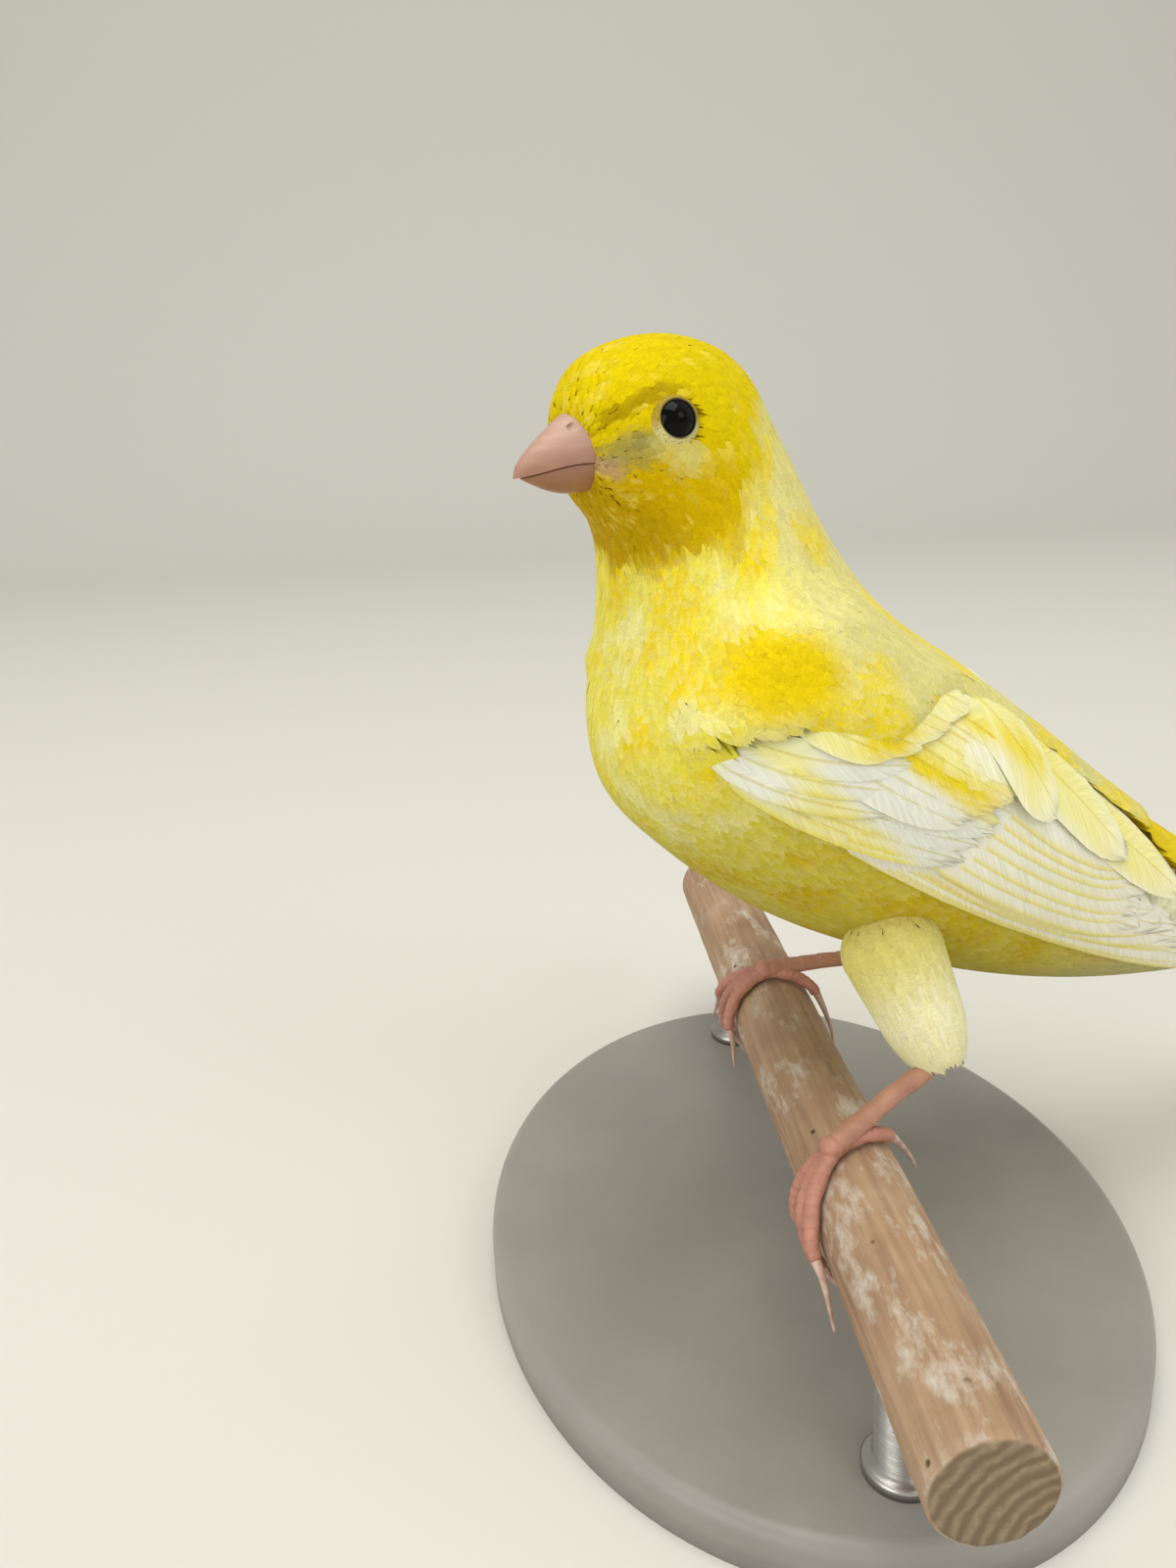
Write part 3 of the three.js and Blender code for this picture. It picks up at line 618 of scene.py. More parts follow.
skin_finish, tree, shader = new_finish("bird_skin", 0.7, Specular_IOR_Level=0.25)
pricks = cells(tree, object_places(tree), 900)
base_colour(tree, shader, hue_times(tree, levels(tree, pricks, 0, 1, 0.75, 1.0)))
roughen(tree, shader, pricks, 0.0003)
piece("skin", joined, skin_finish, "feathers", "head", "neck", "torso", "tail", "thigh_left", "thigh_right")


# Coat: the small feathers of the head, neck and trunk. Each is a thin leaf of barbs, rooted in the
# skin and laid tailwards over the next, with a frayed tip; tiny on the face, broad on the body.
BAKE_PATCH = 0.003
ROOT_SINKING = 8
EDGE_DROOP = 0.02


def leaf_quads(columns, rows):
    """The faces of a closed leaf: a grid over it, and under it a grid that shares its rim."""
    over = np.arange((rows + 1) * (columns + 1)).reshape(rows + 1, columns + 1)
    under = over.copy()
    under[1:-1, 1:-1] = over.size + np.arange((rows - 1) * (columns - 1)).reshape(rows - 1, -1)
    quads = []
    for r in range(rows):
        for c in range(columns):
            quads.append((over[r, c], over[r, c + 1], over[r + 1, c + 1], over[r + 1, c]))
            quads.append((under[r, c], under[r + 1, c], under[r + 1, c + 1], under[r, c + 1]))
    return np.array(quads)


def leaves_mesh(name, over, under, colours, lay, bake, turned=False):
    """One mesh of many like leaves, each value a grid of a leaf's rows and columns."""
    count, rows, columns = len(over), over.shape[1] - 1, over.shape[2] - 1

    def with_under(grid):
        """The values of the upper vertices, and again those of the lower ones within the rim."""
        size = grid.shape[-1]
        inner = grid[:, 1:-1, 1:-1]
        return np.concatenate([grid.reshape(count, -1, size), inner.reshape(count, -1, size)], 1)

    points = np.concatenate([over.reshape(count, -1, 3), under.reshape(count, -1, 3)], 1)
    each = points.shape[1]
    quads = leaf_quads(columns, rows)
    if turned:
        quads = quads[:, ::-1]
    corners = (quads[None] + each * np.arange(count)[:, None, None]).ravel().astype(np.int32)
    mesh = bpy.data.meshes.new(name)
    mesh.vertices.add(count * each)
    mesh.vertices.foreach_set("co", (points / 1000).astype(np.float32).ravel())
    mesh.loops.add(len(corners))
    mesh.loops.foreach_set("vertex_index", corners)
    mesh.polygons.add(len(corners) // 4)
    mesh.polygons.foreach_set("loop_start", np.arange(0, len(corners), 4, dtype=np.int32))
    mesh.update(calc_edges=True)
    rim = np.ones((rows + 1, columns + 1), bool)
    rim[1:-1, 1:-1] = False
    on_rim = np.zeros(each, bool)
    on_rim[: rim.size] = rim.ravel()
    ends = np.zeros(len(mesh.edges) * 2, np.int32)
    mesh.edges.foreach_get("vertices", ends)
    crisp = on_rim[ends.reshape(-1, 2) % each].all(1)
    mesh.attributes.new("sharp_edge", "BOOLEAN", "EDGE").data.foreach_set("value", crisp)
    tint(mesh, with_under(colours).reshape(-1, 3))
    barbs = mesh.attributes.new("lay", "FLOAT_VECTOR", "POINT")
    barbs.data.foreach_set("vector", with_under(lay).astype(np.float32).ravel())
    patches = with_under(bake).reshape(-1, 2)[corners].astype(np.float32)
    mesh.uv_layers.new(name="OFBake").uv.foreach_set("vector", patches.ravel())
    return mesh


def unit(vectors):
    """Each of a row of vectors at length 1."""
    return vectors / np.maximum(np.linalg.norm(vectors, axis=-1, keepdims=True), 1e-9)


def dot(a, b):
    """The dot product of each pair of a row of vectors."""
    return (a * b).sum(-1)


def lie_of_surface(place, station, around):
    """The two directions of a surface's own grid at rows of places, and the way out of it."""
    along = (place(station + 0.02, around) - place(station - 0.02, around)) / 0.04
    across = (place(station, around + 0.01) - place(station, around - 0.01)) / 0.02
    return along, across, unit(np.cross(across, along))


def grid_steps(along, across, direction):
    """How far a millimetre in a direction goes on a surface's own grid."""
    e, f, g = dot(along, along), dot(along, across), dot(across, across)
    b, c = dot(direction, along), dot(direction, across)
    spread = np.maximum(e * g - f * f, 1e-6)
    return (g * b - f * c) / spread, (e * c - f * b) / spread


def lay_feathers(place, spots, length, width, form, depth, rise, turn, steer=None):
    """The vertices of feathers rooted at spots of a surface and laid along it, and their tips' spots.

    form holds the shares of length of a feather's rows, its width at each, the shares of its
    columns, each column's length and the thickness of the leaf."""
    station, around = spots[0].copy(), spots[1].copy()
    rows, profile, columns, ends, thick = form
    over = np.zeros((len(station), len(rows), len(columns), 3))
    under = over.copy()
    for r, u in enumerate(rows):
        along, across, out = lie_of_surface(place, station, around)
        direction = unit(along)
        if steer:
            direction = steer(station, around, direction, out)
        aside = np.cross(direction, out)
        direction = direction * np.cos(turn)[:, None] + aside * np.sin(turn)[:, None]
        aside = np.cross(direction, out)
        ahead = grid_steps(along, across, direction)
        beside = grid_steps(along, across, aside)
        lift = rise * u - depth * (1 - u) ** ROOT_SINKING
        for c, w in enumerate(columns):
            far = length * (ends[:, c] - 1) * u * u
            wide = w * width / 2 * profile[r]
            to_station = station + ahead[0] * far + beside[0] * wide
            to_around = around + ahead[1] * far + beside[1] * wide
            point = place(to_station, to_around)
            droop = EDGE_DROOP * width * w * w * (0.3 + 0.7 * u)
            body = thick * (1 - w * w) * (1 - 0.6 * u) if 0 < r < len(rows) - 1 else 0.0
            over[:, r, c] = point + out * (lift - droop + body)[:, None]
            under[:, r, c] = point + out * (lift - droop - body)[:, None]
        if r + 1 < len(rows):
            step = length * (rows[r + 1] - u)
            station = np.clip(station + ahead[0] * step, 0.05, None)
            around = around + ahead[1] * step
    return over, under[:, 1:-1, 1:-1], (station, around)


SCATTER_GRID = 160
SCATTER_TRIES = 3.2


def scatter(place, stations, arounds, spacing, keep, seed):
    """Places on a surface, about evenly spaced, from chance places thinned by their spacing."""
    dice = np.random.default_rng(seed)
    many = SCATTER_GRID
    s, a = np.meshgrid(np.linspace(*stations, many), np.linspace(*arounds, many), indexing="ij")
    corners = place(s, a)
    down, over = corners[1:, :-1] - corners[:-1, :-1], corners[:-1, 1:] - corners[:-1, :-1]
    area = np.linalg.norm(np.cross(down, over), axis=-1)
    counts = dice.poisson(SCATTER_TRIES * area / spacing(s[:-1, :-1], a[:-1, :-1]) ** 2)
    picked = np.repeat(np.arange(area.size), counts.ravel())
    steps = ((stations[1] - stations[0]) / (many - 1), (arounds[1] - arounds[0]) / (many - 1))
    found_s = s[:-1, :-1].ravel()[picked] + dice.random(len(picked)) * steps[0]
    found_a = a[:-1, :-1].ravel()[picked] + dice.random(len(picked)) * steps[1]
    kept = keep(found_s, found_a)
    found_s, found_a = found_s[kept], found_a[kept]
    order = dice.permutation(len(found_s))
    found_s, found_a = found_s[order], found_a[order]
    room = spacing(found_s, found_a)
    points = place(found_s, found_a)
    tree_of = kdtree.KDTree(len(points))
    for i, point in enumerate(points):
        tree_of.insert(point, i)
    tree_of.balance()
    alive = np.ones(len(points), bool)
    for i in range(len(points)):
        if alive[i]:
            for _, other, _ in tree_of.find_range(points[i], room[i]):
                if other > i:
                    alive[other] = False
    return found_s[alive], found_a[alive]


LEAF_ROWS = (0, 0.33, 0.64, 0.85, 1)
LEAF_PROFILE = (0.5, 1, 0.96, 0.66, 0.08)
LEAF_COLUMNS = (-1, 0, 1)
LEAF_ENDS = (0.92, 1.0, 0.92)
LEAF_FRAY = 0.06
LEAF_THICKNESS = 0.02
LEAF_RISE = 0.02
LEAF_UNEVEN = 0.008


def feather_form(count, dice):
    """The form of each of a row of small feathers, as lay_feathers reads it."""
    ends = np.tile(LEAF_ENDS, (count, 1))
    ends += dice.uniform(-LEAF_FRAY, LEAF_FRAY, ends.shape)
    return LEAF_ROWS, LEAF_PROFILE, LEAF_COLUMNS, ends, LEAF_THICKNESS


def spread_colours(colour, tips, form, vary):
    """The colours of a row of feathers' vertices, from their own colours to those of their tips."""
    fade = ease(np.array(form[0]), 0.6, 1.0)[None, :, None, None]
    colours = (colour[:, None, None] * (1 - fade) + tips[:, None, None] * fade) * vary[:, None, None, None]
    return np.broadcast_to(colours, (len(colour), len(form[0]), len(form[2]), 3))


def barb_places(length, width, form, dice):
    """Where each vertex of a row of feathers lies along and across its own feather."""
    w = np.array(form[2])[None, None, :] * width[:, None, None] / 2
    u = np.array(form[0])[None, :, None] * length[:, None, None]
    return np.stack(np.broadcast_arrays(w, u, dice.random(len(length))[:, None, None]), -1)


def bake_patches(share_round, share_along, form):
    """A small patch for each feather, at its root's place on the unwrapped skin."""
    home_u = 0.02 + 0.96 * share_round[:, None, None]
    home_v = 0.02 + 0.96 * share_along[:, None, None]
    columns, rows = np.array(form[2])[None, None, :], np.array(form[0])[None, :, None]
    return np.stack(
        np.broadcast_arrays(home_u + columns * BAKE_PATCH / 2, home_v + (rows - 0.5) * BAKE_PATCH), -1
    )


# The eyes' places come here, because the small feathers end at the lids.
EYE_RADIUS = 2.2
EYE_STATION = 3.22
EYE_AROUND = math.radians(76)
EYE_PROUD = 0.75
LID_REACH = 1.75
LID_ROOM = 1.85
SHORTEST_FEATHER = 0.3


def eye_place(side):
    """An eye's spot on the skin, its ball's centre and the way it looks. side is -1 for the left."""
    at = np.array([EYE_STATION]), np.array([-side * EYE_AROUND])
    centre = on_body(*at, EYE_PROUD - EYE_RADIUS)[0]
    out = lie_of_surface(on_body, *at)[2][0]
    return centre + out * dot(on_body(*at)[0] - centre, out), centre, out


EYES = {side: eye_place(side) for side in (-1, 1)}


def short_of_eyes(points, direction, length):
    """The lengths of feathers, cut short where they would lie over a lid."""
    for skin_spot, _, _ in EYES.values():
        offset = skin_spot - points
        ahead = dot(offset, direction)
        beside = dot(offset, offset) - ahead**2
        room = ahead - np.sqrt(np.clip(LID_REACH**2 - beside, 0, None))
        meets = (ahead > 0) & (beside < LID_REACH**2) & (room < length)
        length = np.where(meets, np.maximum(room, SHORTEST_FEATHER), length)
    return length


# The folded wing stands out from the body, so the coat rises over its front and its inner edge.
# Both outlines are places on the bird's side: where small feathers cover the wing, and where its
# vanes show.
WING_COVER = [
    (-18.5, 44.8), (-9.5, 45.4), (-3, 42.6), (3, 45), (8, 45.4), (13, 43),
    (20, 38), (28, 32), (36, 26), (38, 27.5), (29, 34), (20, 40.5),
    (12, 46), (2, 51.8), (-5, 55.6), (-12, 56), (-17.5, 53.5), (-20, 49),
]
WING_SHOWN = [
    (-17.4, 44.2), (-9.3, 45.6), (-5.5, 43.4), (-1.5, 42.2), (3, 43), (8, 44.6), (13, 42.8),
    (20, 38.2), (28, 32.2), (36, 26.4), (46, 18), (54, 8), (50, 5), (41, 12.2), (29, 18.6),
    (17, 23), (3, 31.4), (-9, 37.6), (-17.4, 43.2),
]
COVER_LEVEL = 3.2
SPINE_DROP = 1.7
SPINE_NEAR = 0.3
NEAR_EDGE = 0.97
TRUNK_STATION = 4.0
SHOWN_STATION = TRUNK_STATION + 1.5
WING_WAY = (0.87, -0.5)
WING_PULL = 0.8


def within(x, z, outline):
    """Whether places lie inside an outline."""
    inside = np.zeros(x.shape, bool)
    for (x0, z0), (x1, z1) in zip(outline, outline[1:] + outline[:1]):
        crosses = (z0 > z) != (z1 > z)
        inside ^= crosses & (x < (x1 - x0) * (z - z0) / (z1 - z0 + 1e-9) + x0)
    return inside


def inside_by(x, z, outline):
    """How far inside an outline places lie, below 0 outside it."""
    nearest = np.full(x.shape, 1e9)
    for (x0, z0), (x1, z1) in zip(outline, outline[1:] + outline[:1]):
        share = ((x - x0) * (x1 - x0) + (z - z0) * (z1 - z0)) / ((x1 - x0) ** 2 + (z1 - z0) ** 2)
        share = np.clip(share, 0, 1)
        nearest = np.minimum(nearest, np.hypot(x - x0 - share * (x1 - x0), z - z0 - share * (z1 - z0)))
    return np.where(within(x, z, outline), nearest, -nearest)


def over_wing(station, around):
    """1 where the coat lies over a wing's roots, 0 away from it."""
    spots = straight_body(station, around)
    on_side = ease(station, TRUNK_STATION + 1.2, TRUNK_STATION + 3.4)
    return ease(inside_by(spots[..., 0], spots[..., 2], WING_COVER), -3.0, 2.4) * on_side


def coat_outline(station, around):
    """A point on the coat's outline: the body's, risen over the roots of the folded wings."""
    station, around = np.broadcast_arrays(station, around)
    level = COVER_LEVEL - SPINE_DROP * ease(np.cos(around), SPINE_NEAR, NEAR_EDGE)
    return on_body(station, around, level * over_wing(station, around))


def lie_of_coat(station, around, direction, out):
    """The lie of the coat: tailwards, and along the wing where it covers it."""
    share = over_wing(station, around)[:, None]
    if share.max() > 0:
        back, down = WING_WAY
        wing_way = np.array((math.cos(BODY_TURN) * back, math.sin(BODY_TURN) * back, down))
        wing_way = unit(wing_way - out * dot(out, wing_way)[:, None])
        direction = unit(direction * (1 - WING_PULL * share) + wing_way * WING_PULL * share)
    return direction


def bare_of_coat(station, around):
    """Where no small feather is rooted: where the wing's vanes show, and on the lids."""
    spots = straight_body(station, around)
    covered = within(spots[..., 0], spots[..., 2], WING_SHOWN) & (station > SHOWN_STATION)
    posed = on_body(station, around)
    for skin_spot, _, _ in EYES.values():
        covered |= np.linalg.norm(posed - skin_spot, axis=-1) < LID_ROOM
    return covered


def barbs_of(tree, slant, scale):
    """The barbs of feathers, slanting out from the shaft, and how far from it a place lies."""
    lay = wire(tree, "Attribute", {}, attribute_name="lay").outputs["Vector"]
    across, along, chance = wire(tree, "SeparateXYZ", {"Vector": lay}).outputs
    aside = calculate(tree, "ABSOLUTE", across)
    slope = calculate(tree, "MULTIPLY_ADD", aside, slant, along)
    barb_at = wire(tree, "CombineXYZ", {"X": slope, "Y": aside, "Z": chance}).outputs["Vector"]
    return clouds(tree, stretched(tree, barb_at, scale), 1, 3), aside


feather_finish, tree, shader = new_finish(
    "feathers", 0.78, Specular_IOR_Level=0.05, Sheen_Weight=0.02, Sheen_Roughness=0.5
)
barbs, _ = barbs_of(tree, -0.9, (6.5, 0.9, 31))
base_colour(tree, shader, hue_times(tree, levels(tree, barbs, 0.3, 0.7, 0.86, 1.08)))
roughen(tree, shader, barbs, 0.00002, 0.6)

FEATHER_SIZES = [
    # station, spacing, length, width
    (0.3, 0.24, 1.2, 0.42),
    (1.5, 0.27, 1.7, 0.5),
    (3.0, 0.32, 2.5, 0.7),
    (5.0, 0.38, 3.6, 0.92),
    (7.0, 0.46, 4.8, 1.2),
    (9.0, 0.52, 5.8, 1.3),
    (12.0, 0.56, 6.4, 1.4),
    (14.0, 0.54, 6.8, 1.3),
    (16.0, 0.5, 6.0, 1.2),
]


def feather_size(station, column):
    """A size of the feathers at a station, from the table's columns."""
    table = np.array(FEATHER_SIZES)
    return np.interp(station, table[:, 0], table[:, column])


ALL_ROUND = (-math.pi, math.pi)
COLOURED_AT = 0.8
COAT_TURN = 0.07
COAT_WAVE = 0.16


def grow_coat(name, stations, least, most, seed):
    """Grows a piece of the coat between stations, and between angles from the top of the body."""
    dice = np.random.default_rng(seed)
    place = coat_outline if stations[1] > TRUNK_STATION + 1.2 else on_body

    def rooted(station, around):
        """Whether a feather grows at a place."""
        angle = np.abs(around)
        return ~bare_of_coat(station, around) & (angle >= least) & (angle < most)

    spots = scatter(place, stations, ALL_ROUND, lambda s, a: feather_size(s, 1), rooted, seed)
    count = len(spots[0])
    length = feather_size(spots[0], 2) * dice.uniform(0.8, 1.15, count)
    width = feather_size(spots[0], 3) * dice.uniform(0.8, 1.2, count)
    if stations[0] < TRUNK_STATION:
        length = short_of_eyes(on_body(*spots), unit(lie_of_surface(on_body, *spots)[0]), length)
    wave = ripple(spots[0] * 2.2, spots[1] * 4.5, 0, seed)
    turn = dice.normal(0, COAT_TURN, count) + COAT_WAVE * wave
    form = feather_form(count, dice)
    lifts = LEAF_RISE + dice.normal(0, LEAF_UNEVEN, count)
    over, under, ends = lay_feathers(
        place, spots, length, width, form, coat_depth(spots[0]), lifts, turn, lie_of_coat
    )
    tips_at = straight_body(*ends)
    on_vanes = within(tips_at[:, 0], tips_at[:, 2], WING_SHOWN) & (spots[0] > SHOWN_STATION)
    seen_at = [root + COLOURED_AT * (end - root) for root, end in zip(spots, ends)]
    colours = spread_colours(*markings(*seen_at), form, dice.uniform(0.85, 0.99, count))
    lay = barb_places(length, width, form, dice)
    bake = bake_patches((spots[1] % math.tau) / math.tau, spots[0] / LAST_STATION, form)
    kept = ~on_vanes
    mesh = leaves_mesh(name, over[kept], under[kept], colours[kept], lay[kept], bake[kept])
    piece(name, mesh, feather_finish, "feathers")


CROWN_SIDE = 1.3
MANTLE_SIDE = 1.4
UNDERSIDE = 4
COAT_PIECES = [
    # piece, its stations, the radians from the top of the body that it lies between, seed
    ("coat_face", (0.25, 2.2), 0, UNDERSIDE, 11),
    ("coat_crown", (2.2, 5.2), 0, CROWN_SIDE, 12),
    ("coat_cheeks", (2.2, 5.2), CROWN_SIDE, UNDERSIDE, 13),
    ("coat_neck", (5.2, 7.0), 0, UNDERSIDE, 14),
    ("coat_mantle", (7.0, 12.0), 0, MANTLE_SIDE, 15),
    ("coat_breast", (7.0, 9.4), MANTLE_SIDE, UNDERSIDE, 16),
    ("coat_belly", (9.4, 12.4), MANTLE_SIDE, UNDERSIDE, 17),
    ("coat_tail_base", (12.0, 15.7), 0, UNDERSIDE, 18),
]
for row in COAT_PIECES:
    grow_coat(*row)


# Trousers: the soft pale feathers of each thigh, fine and narrow, hanging down to the heel. They
# grow as the rest of the coat does, and close round the top of the shank.
TROUSER_SPACING = 0.42
TROUSER_ROOTS = (0.02, 0.82)
TROUSER_DEPTH = 0.6


def grow_trousers(name, seed):
    """Grows the feathers of one thigh."""
    dice = np.random.default_rng(seed)
    place = on_thigh(name)
    spots = scatter(
        place, TROUSER_ROOTS, ALL_ROUND,
        lambda s, a: np.full(s.shape, TROUSER_SPACING), lambda s, a: np.ones(s.shape, bool), seed,
    )
    count = len(spots[0])
    length = dice.uniform(3.4, 4.8, count) * (1 - 0.12 * ease(spots[0], 0.45, 0.82))
    width = dice.uniform(0.9, 1.3, count)
    form = feather_form(count, dice)
    lifts = LEAF_RISE + dice.normal(0, LEAF_UNEVEN, count)
    turn = dice.normal(0, 0.08, count)
    over, under, _ = lay_feathers(place, spots, length, width, form, TROUSER_DEPTH, lifts, turn)
    colour = between_paints(TROUSERS, "f6ee92", dice.uniform(0, 0.45, count))
    flank = (1 - ease(spots[0], 0.1, 0.5))[:, None] * 0.7
    colour = colour * (1 - flank) + np.array(paint("e6d650")) * flank
    colours = spread_colours(colour, colour, form, dice.uniform(0.8, 0.9, count))
    lay = barb_places(length, width, form, dice)
    bake = bake_patches((spots[1] % math.tau) / math.tau, spots[0], form)
    mesh = leaves_mesh("trousers_" + name, over, under, colours, lay, bake)
    piece("trousers_" + name, mesh, feather_finish, "feathers")


grow_trousers("left", 31)
grow_trousers("right", 32)


# Wings: folded, feather by feather in their tiers, the flight feathers lowest and the coverts over
# them. Each vane is thin, stiff horn with a shaft along it, rooted in the wing's edge, and lies
# over its outer neighbour.
SHINGLE = 0.05
ROOT_DEPTH = 0.6
ROOT_CURVE = 5
VANE_THICKNESS = 0.04
VANE_CROWN = 0.06
SHAFT_HEIGHT = 0.05
SHAFT_HALF = 0.05
TIP_UNEVEN = 0.3
TIP_RAGGED = 0.012
WING_SHEET = 8
VANE_COLUMNS = np.array([-1, -0.8, -0.55, -0.3, -0.09, 0, 0.09, 0.3, 0.55, 0.8, 1])
VANE_FORMS = {
    "flight": (
        [0, 0.1, 0.22, 0.34, 0.46, 0.58, 0.69, 0.79, 0.87, 0.93, 0.97, 1],
        [0.45, 0.65, 0.8, 0.92, 0.98, 1, 0.99, 0.94, 0.82, 0.62, 0.38, 0.1],
    ),
    "broad": (
        [0, 0.14, 0.28, 0.42, 0.56, 0.69, 0.8, 0.88, 0.94, 0.98, 1],
        [0.2, 0.4, 0.72, 0.95, 1, 0.98, 0.9, 0.74, 0.52, 0.3, 0.1],
    ),
    "covert": (
        [0, 0.18, 0.36, 0.54, 0.7, 0.82, 0.91, 0.97, 1],
        [0.6, 0.84, 0.97, 1, 0.95, 0.8, 0.56, 0.3, 0.1],
    ),
}
WING_TIERS = [
    # tier, how many, outer and inner root, outer and inner tip,
    # narrowest and widest breadth, bow, lowest and highest lift, form
    (
        "primaries", 9, (-14.6, 40.6), (0.5, 35.6), (50.3, 6.5), (34.5, 18.6),
        (3.6, 5.6), -1.7, (0.7, 1.5), "flight",
    ),
    (
        "secondaries", 7, (-6.0, 39.4), (4.0, 43.0), (32.6, 17.4), (30.6, 25.8),
        (5.0, 5.8), -0.9, (1.6, 2.1), "flight",
    ),
    (
        "tertials", 3, (-1.0, 48.6), (5.0, 50.5), (38.6, 19.0), (16.3, 33.6),
        (6.8, 7.8), 0.9, (2.2, 2.8), "broad",
    ),
    (
        "primary_coverts", 7, (-18.2, 43.0), (-10.0, 43.6), (5.5, 30.6), (9.5, 34.4),
        (2.6, 3.4), -0.6, (1.5, 1.9), "covert",
    ),
    (
        "alula", 3, (-18.8, 44.0), (-16.6, 45.8), (-3.2, 37.4), (-1.0, 41.0),
        (2.2, 3.0), -0.5, (1.95, 2.2), "covert",
    ),
    (
        "greater_coverts", 9, (-12.0, 46.2), (-2.6, 50.4), (5.0, 35.0), (16.0, 37.4),
        (3.8, 4.8), -0.4, (2.2, 2.6), "covert",
    ),
    (
        "median_coverts", 8, (-12.5, 48.2), (-6.6, 52.2), (-3.5, 42.6), (6.4, 44.6),
        (3.4, 4.2), -0.2, (2.5, 2.8), "covert",
    ),
]
FLIGHT_TIERS = ("primaries", "secondaries", "tertials")
WHITE_START = (-9.3, 44.9)
WHITE_LEAN = math.radians(-41)


def side_at(x, z):
    """For places seen from the side, the station and how far up its slice each lies, -1 to 1."""
    low = np.full(x.shape, TRUNK_STATION)
    high = np.full(x.shape, LAST_STATION - 0.5)
    for _ in range(24):
        station = (low + high) / 2
        middle_x, middle_z, up_x, up_z, reach, _ = body_slices(station)
        ahead = (x - middle_x) * up_z - (z - middle_z) * up_x > 0
        low, high = np.where(ahead, station, low), np.where(ahead, high, station)
    middle_x, middle_z, up_x, up_z, reach, _ = body_slices(low)
    height = ((x - middle_x) * up_x + (z - middle_z) * up_z) / reach
    return low, np.clip(height, -NEAR_EDGE, NEAR_EDGE)


def wing_colours(x, z, w, u, tier, chance):
    """The colours of a wing's vanes at places seen from the side, across and along each vane."""
    shape = np.broadcast(x, z, w, u).shape

    def mixed(colour, code, share):
        share = np.clip(np.broadcast_to(share, shape), 0, 1)[..., None]
        return colour * (1 - share) + np.array(paint(code)) * share

    wave = ripple(x / 4.5, z / 4.5, chance * 3, 5) * 0.9
    margin = ease(np.maximum(np.abs(w), 1.25 * u - 0.3), 0.68, 0.95)
    cos, sin = math.cos(WHITE_LEAN), math.sin(WHITE_LEAN)
    along = (x - WHITE_START[0]) * cos + (z - WHITE_START[1]) * sin
    across = (z - WHITE_START[1]) * cos - (x - WHITE_START[0]) * sin + 0.5 * wave
    band = (1 - ease(np.abs(across), 1.5 + 0.05 * along, 2.4 + 0.08 * along)) * ease(along, -2.0, 0.5)
    band = np.maximum(band, spot(x, z, -14.6, 42.2, 4.6, 1.7, math.radians(-33)))
    if tier in ("primaries", "secondaries"):
        colour = np.broadcast_to(np.array(paint("f4f3e2")), (*shape, 3))
        colour = mixed(colour, "ece8c4", ease(wave, -0.1, 0.7) * 0.5)
        return mixed(colour, "ecdc30", ease(-w, 0.75, 0.97) * (1 - ease(u, 0.9, 1)) * 0.8)
    if tier in ("primary_coverts", "alula"):
        colour = np.broadcast_to(np.array(paint("f2eda4")), (*shape, 3))
        colour = mixed(colour, "eadb3a", ease(-w, 0.55, 0.95) * 0.7)
        return mixed(colour, "eceee0", band)
    colour = np.broadcast_to(np.array(paint("f4efa0")), (*shape, 3))
    colour = mixed(colour, "f0e04a", ease(wave, 0.0, 0.6) * 0.7)
    colour = mixed(colour, "efd80a", spot(x, z, 4.0, 37.8, 10.5, 1.7, math.radians(-31)))
    colour = mixed(colour, "efd80a", spot(x, z, -3.4, 44.2, 2.6, 2.0))
    colour = mixed(colour, "efdb1c", spot(x, z, 11.5, 40.4, 7.5, 1.3, math.radians(-27)) * 0.85)
    colour = mixed(colour, "f7f6e0", spot(x, z, 8.0, 40.0, 4.5, 1.5, math.radians(-30)) * 0.8)
    if tier == "greater_coverts":
        colour = mixed(colour, "eceee0", band)
    return mixed(colour, "f9f7de", margin * (0.75 if tier == "tertials" else 0.4))


def bake_cell(cell, across, along, many):
    """A vane's own square, in a sheet of squares with many to a side."""
    column = cell % many + (across + 1.15) / 2.3
    row = cell // many + (along + 0.06) / 1.12
    return np.stack(np.broadcast_arrays(column / many, row / many), -1)


